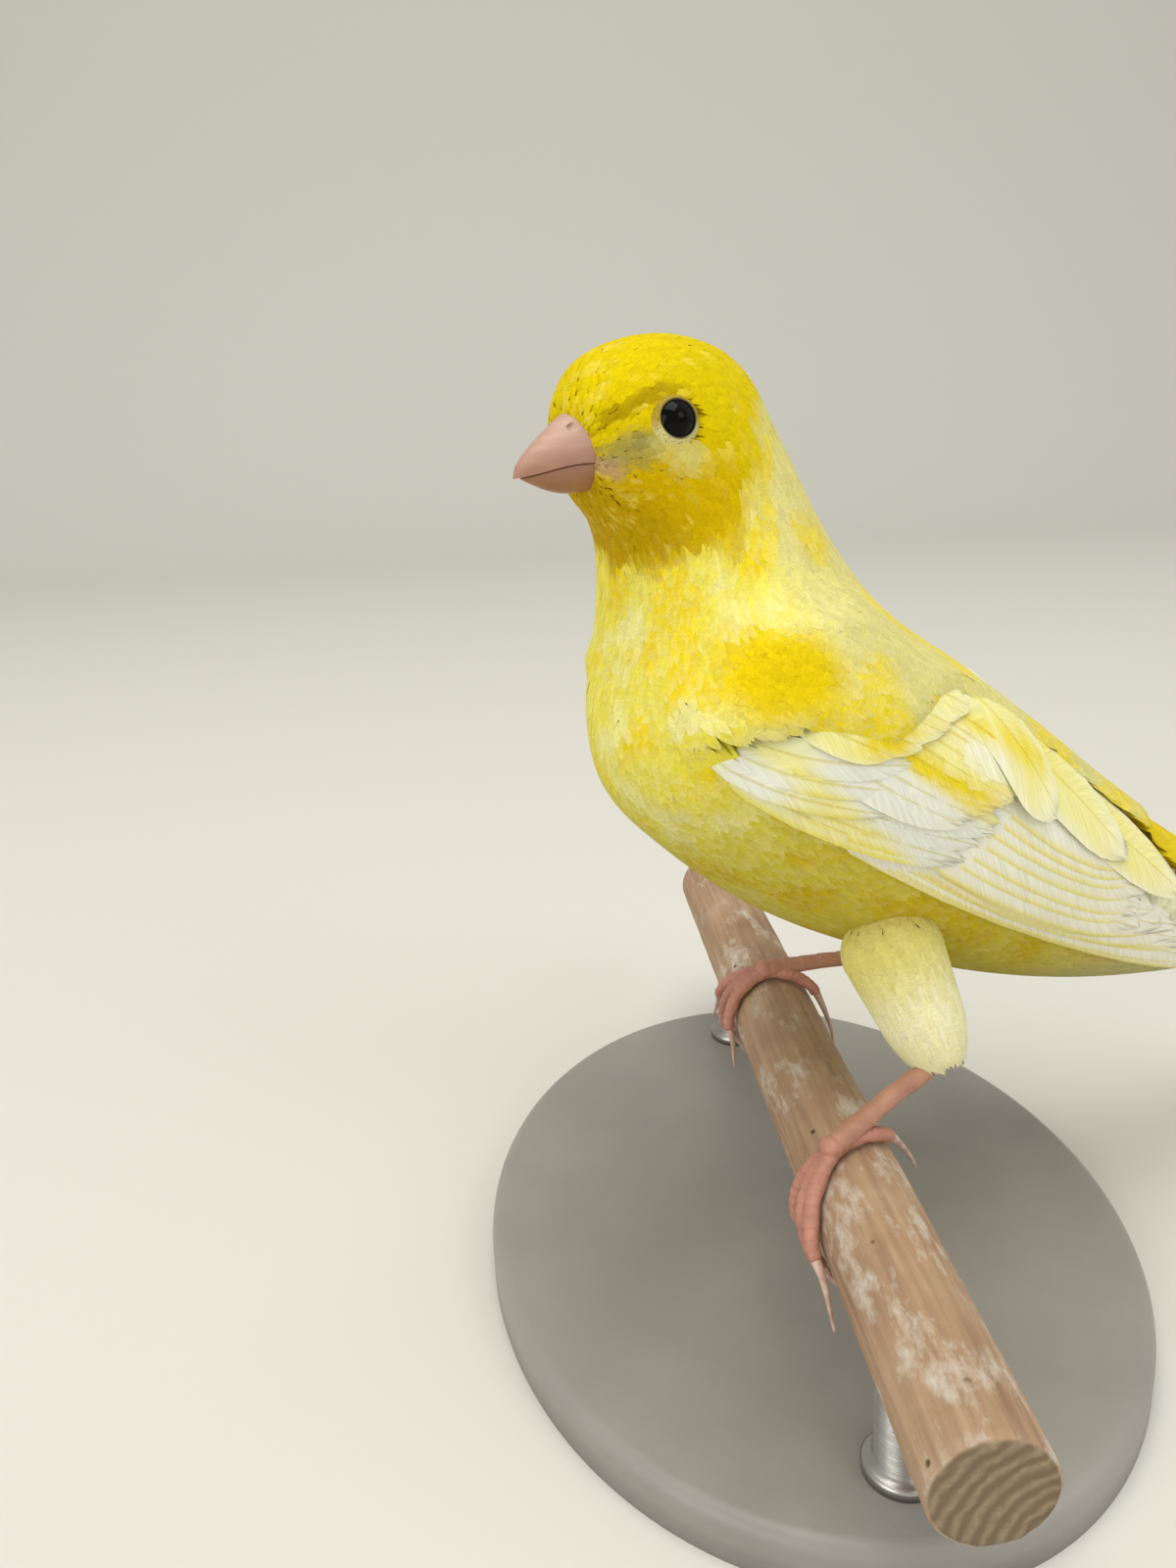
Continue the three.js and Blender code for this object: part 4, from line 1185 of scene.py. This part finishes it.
def wing_vanes(side, tiers, name):
    """The vanes of some tiers of one wing, joined in one mesh."""
    made, laid = [], 0
    for tier, count, *spans, broad, bow, lifts, form in tiers:
        rows, profile = (np.array(values) for values in VANE_FORMS[form])
        dice = np.random.default_rng(len(tier) * 7 + count)
        share = np.linspace(0, 1, count)
        roots, tips = (
            np.array(a)[None] + (np.array(b) - np.array(a))[None] * share[:, None]
            for a, b in (spans[:2], spans[2:])
        )
        tips = tips + dice.normal(0, TIP_UNEVEN, tips.shape)
        ahead = unit(tips - roots)
        up = np.stack([-ahead[:, 1], ahead[:, 0]], -1)
        half = (broad[0] + (broad[1] - broad[0]) * share) / 2
        lift = lifts[0] + (lifts[1] - lifts[0]) * share
        u = rows[None, :, None]
        w = VANE_COLUMNS[None, None, :] * profile[None, :, None]
        ragged = 1 + dice.normal(0, TIP_RAGGED, (count, 1, len(VANE_COLUMNS))) * u**6
        line = roots[:, None, None] + (tips - roots)[:, None, None] * (u * ragged)[..., None]
        shift = w * half[:, None, None] + bow * np.sin(math.pi * u)
        spot_at = line + up[:, None, None] * shift[..., None]
        x, z = spot_at[..., 0], spot_at[..., 1]
        station, height = side_at(x, z)
        sunk = (lift[:, None, None] + ROOT_DEPTH) * (1 - u) ** ROOT_CURVE
        level = lift[:, None, None] - SPINE_DROP * ease(height, SPINE_NEAR, NEAR_EDGE) - sunk
        shaft = SHAFT_HEIGHT * (np.abs(VANE_COLUMNS) < SHAFT_HALF)
        level = level - SHINGLE * w - VANE_CROWN * VANE_COLUMNS**2 + shaft
        around = -side * np.arccos(height)
        angle = HEAD_TURN * (1 - ease(station, NECK_TURNED, NECK_STRAIGHT))
        thick = VANE_THICKNESS * (1 - VANE_COLUMNS**2)[None, None] * np.ones_like(x)
        thick[:, [0, -1]] = 0
        slices = body_slices(station)
        over = set_in_pose(on_slice(slices, around, level + thick), angle)
        under = set_in_pose(on_slice(slices, around, level - thick), angle)[:, 1:-1, 1:-1]
        chance = dice.random(count)[:, None, None]
        full = np.broadcast_to(VANE_COLUMNS[None, None], x.shape)
        along = np.broadcast_to(u, x.shape)
        colours = wing_colours(x, z, full, along, tier, chance)
        long = np.linalg.norm(tips - roots, axis=1)[:, None, None]
        lay = np.stack(np.broadcast_arrays(full * half[:, None, None], along * long, chance), -1)
        bake = bake_cell((laid + np.arange(count))[:, None, None], full, along, WING_SHEET)
        made.append(leaves_mesh(tier, over, under, colours, lay, bake, turned=side < 0))
        laid += count
    bm = bmesh.new()
    for mesh in made:
        bm.from_mesh(mesh)
    joined_mesh = bpy.data.meshes.new(name)
    bm.to_mesh(joined_mesh)
    bm.free()
    return joined_mesh


flight_finish, tree, shader = new_finish(
    "flight_feathers", 0.6, Specular_IOR_Level=0.18, Sheen_Weight=0.04, Sheen_Roughness=0.4
)
barbs, aside = barbs_of(tree, -1.5, (4.2, 0.35, 31))
vane_colour = hue_times(tree, levels(tree, barbs, 0.3, 0.7, 0.86, 1.05))
shaft_colour = blend(tree, 1.0, vane_colour, [*paint("f3eccb"), 1], "MULTIPLY")
off_shaft = levels(tree, aside, 0.08, 0.18)
base_colour(tree, shader, blend(tree, off_shaft, shaft_colour, vane_colour))
roughen(tree, shader, barbs, 0.00004, 0.6)

flights = [tier for tier in WING_TIERS if tier[0] in FLIGHT_TIERS]
coverts = [tier for tier in WING_TIERS if tier[0] not in FLIGHT_TIERS]
for side, hand in ((-1, "left"), (1, "right")):
    for kind, tiers in (("wing_flights_", flights), ("wing_coverts_", coverts)):
        vanes = wing_vanes(side, tiers, kind + hand)
        piece(kind + hand, vanes, flight_finish, "flight_feathers", "wing_" + hand)


# Tail: twelve stiff feathers of horn, closed and rooted in the end of the rump, the middle pair on
# top and the outermost the longest, which gives the tail its notch.
TAIL_ROOT = (42.3, 19.1)
TAIL_TIP = (82.0, -5.0)
TAIL_PAIRS = 6
TAIL_HALF_VANE = 2.7
TAIL_ROOT_ASIDE = (0.9, 3.4)
TAIL_TIP_ASIDE = (1.9, 5.2)
TAIL_FORK = 3.2
TAIL_FALL = 2.2
TAIL_RISE = 0.15
TAIL_OVERLAP = 0.1
TAIL_TILT = 0.22
TAIL_CROWN = 0.1
TAIL_SHAFT = 0.07
TAIL_THICKNESS = 0.06
TAIL_RAGGED = 0.006
TAIL_SHEET = 4

rows, profile = (np.array(values) for values in VANE_FORMS["flight"])
tail_root, tail_tip = (np.array((x, 0, z)) for x, z in (TAIL_ROOT, TAIL_TIP))
tail_length = np.linalg.norm(tail_tip - tail_root)
ahead = (tail_tip - tail_root) / tail_length
up = np.array((-ahead[2], 0, ahead[0]))
u = rows[:, None]
w = VANE_COLUMNS[None, :] * profile[:, None]
over, under, colours, lays, bakes = [], [], [], [], []
dice = np.random.default_rng(41)
pale, yellow = np.array(paint("f3f0d4")), np.array(paint("ecdf4e"))
edge = 0.8 * ease(-VANE_COLUMNS, 0.6, 0.95)[None, :, None] * np.ones((*w.shape, 1))
for side in (-1, 1):
    for pair in range(TAIL_PAIRS):
        share = pair / (TAIL_PAIRS - 1)
        drop = TAIL_FALL * share - TAIL_RISE + (TAIL_OVERLAP if side < 0 else 0)
        root_aside, tip_aside = (
            nearest + (farthest - nearest) * share
            for nearest, farthest in (TAIL_ROOT_ASIDE, TAIL_TIP_ASIDE)
        )
        aside = root_aside * (1 - u) + tip_aside * u - w * TAIL_HALF_VANE
        ragged = 1 + dice.normal(0, TAIL_RAGGED, w.shape) * u**6
        far = (tail_length + TAIL_FORK * share) * u * ragged
        shaft = TAIL_SHAFT * (np.abs(VANE_COLUMNS) < SHAFT_HALF)
        level = TAIL_TILT * w - drop - TAIL_CROWN * VANE_COLUMNS**2 + shaft
        thick = TAIL_THICKNESS * (1 - VANE_COLUMNS**2)[None] * np.ones_like(w)
        thick[[0, -1]] = 0
        point = tail_root + ahead * far[..., None] + np.array((0, side, 0)) * aside[..., None]
        over.append(set_in_pose(point + up * (level + thick)[..., None], 0.0))
        under.append(set_in_pose(point + up * (level - thick)[..., None], 0.0)[1:-1, 1:-1])
        colours.append(pale * (1 - edge) + yellow * edge)
        across = VANE_COLUMNS * TAIL_HALF_VANE
        lays.append(np.stack(np.broadcast_arrays(across, u * tail_length, share + side), -1))
        bakes.append(bake_cell(pair + (side > 0) * TAIL_PAIRS, VANE_COLUMNS, u, TAIL_SHEET))
for hand, first in (("left", 0), ("right", TAIL_PAIRS)):
    of_side = slice(first, first + TAIL_PAIRS)
    mesh = leaves_mesh(
        "tail_feathers_" + hand,
        *(np.array(values[of_side]) for values in (over, under, colours, lays, bakes)),
        turned=hand == "right",
    )
    piece("tail_feathers_" + hand, mesh, flight_finish, "flight_feathers", "tail")


# Eyes: a wet black ball on each side of the head, with a clear rounded front, held by the lids.
CORNEA_EDGE = 0.75
CORNEA_RISE = 0.00012

eye_finish, tree, shader = new_finish("eye", 0.05, Specular_IOR_Level=0.12)
fibres = clouds(tree, object_places(tree), 2600, 2)
base_colour(tree, shader, grade(tree, fibres, [(0.35, "020202"), (0.75, "070504")]))


def set_facing(bm, out, place):
    """Turns a form that faces up to face out, and sets it at a place in millimetres."""
    turn = Vector(out).to_track_quat("Z", "Y").to_matrix()
    bmesh.ops.rotate(bm, cent=(0, 0, 0), matrix=turn, verts=bm.verts)
    bmesh.ops.translate(bm, vec=Vector(place / 1000), verts=bm.verts)


for side, hand in ((-1, "left"), (1, "right")):
    _, centre, out = EYES[side]
    bm = bmesh.new()
    bmesh.ops.create_uvsphere(bm, u_segments=48, v_segments=32, radius=EYE_RADIUS / 1000)
    for vertex in bm.verts:
        front = max(0.0, vertex.co.z * 1000 / EYE_RADIUS - CORNEA_EDGE) / (1 - CORNEA_EDGE)
        vertex.co.z += CORNEA_RISE * front * front
    set_facing(bm, out, centre)
    piece("eyeball_" + hand, mesh_of("eyeball_" + hand, bm), eye_finish, "eye", "eye_" + hand)


# Lids: the bare pale rim of skin round each eye, a soft lip that lies on the ball and sinks under
# the small feathers, dotted with fine grey grains.
LID_PROFILE = [
    # reach from the eye's axis, height over the skin
    (1.3, -0.3), (1.42, 0.12), (1.48, 0.24), (1.56, 0.3), (1.66, 0.29), (1.78, 0.19), (1.95, 0.0),
    (2.2, -0.4), (2.45, -0.95),
]
LID_OVAL = (1.04, 0.97, 1)
LID_THICKNESS = 0.00008
LID_RIM = 1.56
LID_RIM_FADE = 0.16

lid_finish, tree, shader = new_finish("lid_skin", 0.55, Specular_IOR_Level=0.35)
grains = cells(tree, object_places(tree), 4200)
base_colour(tree, shader, hue_times(tree, grade(tree, grains, [(0.1, "b4b0a4"), (0.4, "ffffff")])))
roughen(tree, shader, grains, 0.00008)
for side, hand in ((-1, "left"), (1, "right")):
    skin_spot, _, out = EYES[side]
    bm = turn_up([(r / 1000, 0, h / 1000) for r, h in LID_PROFILE], (0, 0, 1), 64)
    bmesh.ops.scale(bm, vec=LID_OVAL, verts=bm.verts)
    bmesh.ops.remove_doubles(bm, verts=bm.verts, dist=1e-7)
    set_facing(bm, out, skin_spot)
    bmesh.ops.solidify(bm, geom=bm.faces, thickness=LID_THICKNESS)
    mesh = mesh_of("lids_" + hand, bm)
    offset = points_of(mesh) - skin_spot
    flat = offset - dot(offset, out)[:, None] * out
    rim = (1 - ease(np.linalg.norm(flat, axis=1), LID_RIM, LID_RIM + LID_RIM_FADE))[:, None]
    skin_colour = between_paints("a88e14", "d8d08c", ease(-offset[:, 2], -0.3, 1.2))
    tint(mesh, skin_colour * (1 - rim) + np.array(paint("1c1914")) * rim)
    piece("lids_" + hand, mesh, lid_finish, "feathers")


# Bill: the short conical bill of a seed eater, two horn mandibles parted along the mouth. The upper
# has a rounded ridge and a nostril each side at its base, and laps a little over the lower.
BILL_STATIONS = [
    ((-23.5, 68.9), (-23.5, 68.9), 0.0),
    ((-24.1, 72.0), (-23.5, 65.8), 2.8),
    ((-26.6, 72.4), (-25.4, 65.8), 3.0),
    ((-29.1, 71.1), (-27.9, 65.7), 2.4),
    ((-31.2, 69.5), (-30.2, 66.1), 1.5),
    ((-32.5, 68.3), (-32.0, 66.8), 0.7),
    ((-33.0, 67.3), (-33.0, 67.3), 0.0),
]
MOUTH_FRONT = (-33.9, 67.1)
MOUTH_BACK = (-22.8, 68.5)
MOUTH_GAP = 0.05
NOSTRIL_STATION = 2.6
NOSTRIL_AROUND = math.radians(38)
NOSTRIL_RADIUS = 0.42
NOSTRIL_DEPTH = 0.4
RIDGE_HEIGHT = 0.1
RIDGE_WIDTH = 0.3
LOWER_SHORTER = 0.5
LOWER_NARROWER = 0.93
MOUTH_HEIGHT = 67.8
MOUTH_BEND = 0.28

bill_finish, tree, shader = new_finish(
    "bill_horn", 0.38, Specular_IOR_Level=0.4, Subsurface_Weight=0.15, Subsurface_Scale=0.001
)
streaks = clouds(tree, stretched(tree, object_places(tree), (260, 1500, 1500)), 1, 4)
base_colour(tree, shader, hue_times(tree, levels(tree, streaks, 0.3, 0.7, 0.9, 1.06)))
roughen(tree, shader, streaks, 0.00006)

bill_slices = slices_of(BILL_STATIONS)
mouth_front, mouth_back = (np.array((x, 0, z)) for x, z in (MOUTH_FRONT, MOUTH_BACK))
mouth_way = unit(mouth_back - mouth_front)
mouth_up = np.array((-mouth_way[2], 0, mouth_way[0]))


def on_bill(share, around):
    """The straight bill's outline, with a ridge along its top."""
    ridge = RIDGE_HEIGHT * np.exp(-((around / RIDGE_WIDTH) ** 2)) * np.sin(math.pi * share)
    return on_slice(bill_slices(share * (len(BILL_STATIONS) - 1)), around, ridge)


for name, upper in (("upper", True), ("lower", False)):
    bm = bmesh.new()
    globe_over(bm, 96, 88, on_bill)
    cut_way = mouth_up if upper else -mouth_up
    bmesh.ops.bisect_plane(
        bm, geom=bm.verts[:] + bm.edges[:] + bm.faces[:], dist=1e-7,
        plane_co=Vector((mouth_front + cut_way * MOUTH_GAP) / 1000), plane_no=Vector(cut_way),
        clear_inner=True,
    )
    bmesh.ops.holes_fill(bm, edges=[e for e in bm.edges if e.is_boundary], sides=0)
    bmesh.ops.triangulate(bm, faces=[f for f in bm.faces if len(f.verts) > 4])
    points = points_of(bm)
    if not upper:
        points[:, 0] += LOWER_SHORTER * ease(-points[:, 0], 27.0, 33.0)
        points[:, 1] *= LOWER_NARROWER
    bend = MOUTH_BEND * np.sin(ease(-points[:, 0], 24.5, 33.0) * math.pi)
    points[:, 2] += bend * (1 - ease(np.abs(points[:, 2] - MOUTH_HEIGHT), 0.6, 2.6))
    if upper:
        for side in (-1, 1):
            slices = bill_slices(np.array([NOSTRIL_STATION]))
            hole = on_slice(slices, np.array([-side * NOSTRIL_AROUND]), 0.0)[0]
            far = np.linalg.norm(points - hole, axis=1)
            points[:, 1] -= side * NOSTRIL_DEPTH * (1 - ease(far, NOSTRIL_RADIUS * 0.5, NOSTRIL_RADIUS))
    for vertex, point in zip(bm.verts, set_in_pose(points, HEAD_TURN) / 1000):
        vertex.co = point
    mesh = mesh_of("bill_" + name, bm)
    height = ease(points_of(mesh)[:, 2] - PERCH_MM, 66.0, 72.0)
    colours = between_paints("9a6c50", "c0a090", height)
    if upper:
        colours = colours * 0.75 + np.array(paint("c39484")) * 0.25
    tint(mesh, colours)
    piece("mandible_" + name, mesh, bill_finish, "bill", "bill_" + name)


# Legs and feet: bare scaled skin over bone, pinkish orange, with claws of horn. The shank has broad
# plates down its front; three toes pass over the front of the perch and the hind toe round its back.
LEGS = {
    "left": {"side": -1, "foot_y": -23.5, "foot_turn": 25, "drift": -0.42},
    "right": {"side": 1, "foot_y": 12.5, "foot_turn": 10, "drift": 0.2},
}
PAD_HEIGHT = 6.4
PAD_RADIUS = 1.15
TOES = ((104, 46, 0), (74, 40, 0.46), (84, 40, -0.42), (-66, -60, 0))
TOE_RADII = (0.82, 0.66)
CLAW_RADII = (0.54, 0.12)
TOE_GAP = 0.12
CLAW_LIFT = 1.7
CLAW_DIP = 0.25
SHANK_RADIUS = 0.92
SHANK_WIDENING = 0.38
SHANK_FRONT = (-0.6, 0.0, 0.8)
SHANK_OVER = 1.5
SHANK_PLATES = 9
TOE_PLATES = 11
PLATE_HEIGHTS = (0.11, 0.12)
TOE_JOINT = 0.07
TOE_INTO_CLAW = 1.02
CLAW_INTO_TOE = 0.97
DARK_PATCHES = 0.35

leg_finish, tree, shader = new_finish(
    "leg_skin", 0.48, Specular_IOR_Level=0.4, Subsurface_Weight=0.1, Subsurface_Scale=0.001
)
at = object_places(tree)
mottle = clouds(tree, at, 420, 3)
base_colour(tree, shader, hue_times(tree, levels(tree, mottle, 0.3, 0.7, 0.85, 1.1)))
roughen(tree, shader, cells(tree, at, 1500), 0.00009)

claw_finish, tree, shader = new_finish(
    "claw_horn", 0.35, Specular_IOR_Level=0.45, Subsurface_Weight=0.15, Subsurface_Scale=0.001
)
streaks = clouds(tree, object_places(tree), 900, 4)
base_colour(tree, shader, grade(tree, streaks, [(0.35, "a98b7c"), (0.65, "cfb4a6")]))
roughen(tree, shader, streaks, 0.00004)


def round_perch(angle, distance, y):
    """A point beside the perch: an angle forwards from its top, a distance out, a place along."""
    return np.stack([-np.sin(angle) * distance, y + 0 * angle, np.cos(angle) * distance + PERCH_MM], -1)


def rod_over(bm, centre_at, radius_at, outward_at, sides, rows):
    """Adds a closed rod along a path; outward_at says which way its back faces."""
    step = 0.004

    def place(share, around):
        """A point on the rod."""
        way = unit(centre_at(np.minimum(share + step, 1)) - centre_at(np.maximum(share - step, 0)))
        outward = outward_at(share)
        outward = unit(outward - way * dot(outward, way)[:, None])
        beside = np.cross(way, outward)
        round_end = np.sqrt(np.clip(1 - (2 * np.abs(share - 0.5)) ** 24, 0, 1))
        radius = radius_at(share, around) * round_end
        return (
            centre_at(share)
            + outward * (np.cos(around) * radius)[:, None]
            + beside * (np.sin(around) * radius)[:, None]
        )

    globe_over(bm, sides, rows, place)


def plates(share, count, around, height):
    """Overlapping plates on the back of a rod, as a height that rises and falls count times."""
    tooth = (share * count) % 1
    return height * (tooth**0.5 - 0.6) * np.clip(np.cos(around) + 0.35, 0, 1)


def leg_colours(mesh, hue, seed):
    """Tints a leg piece, with chance darker places."""
    wave = ripple(*(points_of(mesh).T / 1.6), seed)
    tint(mesh, between_paints(hue, "a86f62", DARK_PATCHES * ease(wave, -0.2, 0.5)))


for name, leg in LEGS.items():
    side = leg["side"]
    heel = np.array(THIGHS[name][1]) + (0, 0, PERCH_MM)
    hip = np.array(THIGHS[name][0]) + (0, 0, PERCH_MM)
    foot_turn = math.radians(leg["foot_turn"])
    pad = round_perch(np.array(foot_turn), PAD_HEIGHT, leg["foot_y"])
    start = heel + unit(hip - heel) * SHANK_OVER
    shank = np.array([start, heel, heel + (pad - heel) * 0.5, pad])

    def shank_radius(share, around):
        """Thin in the middle, wider at the heel and the foot, with plates on its front."""
        radius = SHANK_RADIUS + SHANK_WIDENING * (2 * share - 1) ** 4
        return radius + plates(share, SHANK_PLATES, around, PLATE_HEIGHTS[0])

    bm = bmesh.new()
    rod_over(
        bm, lambda share: along_curve(shank, share), shank_radius,
        lambda share: np.broadcast_to(np.array(SHANK_FRONT), (len(share), 3)), 28, 130,
    )
    mesh = mesh_of("shank_" + name, bm)
    leg_colours(mesh, "b4846c", 3)
    piece("shank_" + name, mesh, leg_finish, "leg_skin", "tarsus_" + name)

    toes = bmesh.new()
    claws = bmesh.new()
    for reach, claw, outward in TOES:
        toe_share = reach / (reach + claw)

        def toe_at(share):
            """The middle of the toe and its claw, wound round the perch."""
            run = np.radians((reach + claw) * share)
            inner = PERCH_RADIUS * 1000 + TOE_GAP + TOE_RADII[0]
            past = np.clip((share - toe_share) / (1 - toe_share), 0, 1)
            splay = (leg["drift"] + side * outward * np.sign(reach)) * run * inner
            far = inner + CLAW_LIFT * past**2 - CLAW_DIP * np.sin(math.pi * past)
            return round_perch(foot_turn + run, far, leg["foot_y"] + splay)

        def away_from_perch(share):
            """The way out from the perch's middle line."""
            found = toe_at(share) - (0, 0, PERCH_MM)
            found[:, 1] = 0
            return unit(found)

        def toe_radius(share, around):
            """A toe's taper, its joints, and the plates along its back."""
            joints = TOE_JOINT * np.cos(share * math.tau * 3) * np.clip(-np.cos(around), 0, 1)
            base = TOE_RADII[0] + (TOE_RADII[1] - TOE_RADII[0]) * share
            return base + joints + plates(share, TOE_PLATES, around, PLATE_HEIGHTS[1])

        def claw_radius(share, around):
            """A claw's taper to its point."""
            return CLAW_RADII[0] + (CLAW_RADII[1] - CLAW_RADII[0]) * share**0.8

        toe_end = toe_share * TOE_INTO_CLAW
        claw_start = toe_share * CLAW_INTO_TOE
        for low, high, radius, sides, rows, into in (
            (0, toe_end, toe_radius, 22, 120, toes),
            (claw_start, 1, claw_radius, 16, 28, claws),
        ):
            one = bmesh.new()
            rod_over(
                one, lambda share: toe_at(low + share * (high - low)), radius,
                lambda share: away_from_perch(low + share * (high - low)), sides, rows,
            )
            into.from_mesh(mesh_of("toe_part", one))
    ball = bmesh.new()
    bmesh.ops.create_uvsphere(ball, u_segments=28, v_segments=20, radius=PAD_RADIUS / 1000)
    bmesh.ops.translate(ball, vec=Vector(pad / 1000), verts=ball.verts)
    toes.from_mesh(mesh_of("ball", ball))
    mesh = mesh_of("toes_" + name, toes)
    leg_colours(mesh, "b8826f", 4)
    piece("toes_" + name, mesh, leg_finish, "leg_skin", "foot_" + name)
    piece("claws_" + name, mesh_of("claws_" + name, claws), claw_finish, "leg_skin", "foot_" + name)


# Floor and light: a plain pale floor that curves up into a backdrop, under large soft lamps. The
# camera stands where the perch's edges and its round end put it.
FLOOR_HALF = 4
FLOOR_BACK = 0.7
FLOOR_BEND = 0.4
BEND_STEPS = 12
BACKDROP_TOP = 2.2
CAMERA_LENS = 27.045
CAMERA_SENSOR = 36

floor_finish, tree, shader = new_finish("floor", 0.9, Specular_IOR_Level=0.1)
shader.inputs["Base Color"].default_value = [*paint("deddd7"), 1]
profile = [(-FLOOR_HALF, -FLOOR_HALF, 0), (-FLOOR_HALF, FLOOR_BACK, 0)]
for step in range(1, BEND_STEPS + 1):
    angle = math.radians(90) * step / BEND_STEPS
    back, risen = FLOOR_BEND * math.sin(angle), FLOOR_BEND * (1 - math.cos(angle))
    profile.append((-FLOOR_HALF, FLOOR_BACK + back, risen))
profile.append((-FLOOR_HALF, FLOOR_BACK + FLOOR_BEND, BACKDROP_TOP))
bm = bmesh.new()
line = [bm.verts.new(place) for place in profile]
edges = [bm.edges.new(pair) for pair in zip(line, line[1:])]
swept = bmesh.ops.extrude_edge_only(bm, edges=edges)["geom"]
moved = [v for v in swept if isinstance(v, bmesh.types.BMVert)]
bmesh.ops.translate(bm, vec=(2 * FLOOR_HALF, 0, 0), verts=moved)
floor_mesh = mesh_of("floor", bm)
floor_mesh.materials.append(floor_finish)
floor_mesh.shade_smooth()
floor = bpy.data.objects.new("floor", floor_mesh)
bpy.context.scene.collection.objects.link(floor)

world = bpy.data.worlds.new("studio")
bpy.context.scene.world = world
world.use_nodes = True
background = world.node_tree.nodes["Background"]
background.inputs["Color"].default_value = [*paint("e9e6e0"), 1]
background.inputs["Strength"].default_value = 0.72


BIRD_MIDDLE = (0, 0, 0.06)


def soft_lamp(name, place, size, power, code):
    """A square soft lamp, aimed at the bird."""
    light = bpy.data.lights.new(name, "AREA")
    light.size = size
    light.energy = power
    light.color = paint(code)
    lamp = bpy.data.objects.new(name, light)
    lamp.location = place
    aim = Vector(BIRD_MIDDLE) - Vector(place)
    lamp.rotation_euler = aim.to_track_quat("-Z", "Y").to_euler()
    bpy.context.scene.collection.objects.link(lamp)


LAMPS = [
    # lamp, place, side in metres, watts, colour
    ("overhead", (-0.05, -0.1, 0.85), 0.6, 3.7, "fffdf6"),
    ("window", (0.6, -0.6, 0.6), 0.5, 1.6, "fbfbff"),
    ("front", (-0.7, -0.6, 0.35), 0.6, 2.6, "fffdf6"),
]
for lamp in LAMPS:
    soft_lamp(*lamp)
bpy.context.scene.view_settings.view_transform = "Standard"

camera = bpy.data.objects.new("camera", bpy.data.cameras.new("camera"))
bpy.context.scene.collection.objects.link(camera)
bpy.context.scene.camera = camera
camera.data.lens = CAMERA_LENS
camera.data.sensor_width = CAMERA_SENSOR
camera.data.clip_start = 0.005
camera.matrix_world = Matrix(
    (
        (0.99638, 0.06398, -0.05592, -0.029295),
        (-0.07254, 0.29776, -0.95188, -0.1163),
        (-0.04425, 0.95249, 0.30132, 0.094226),
        (0, 0, 0, 1),
    )
)
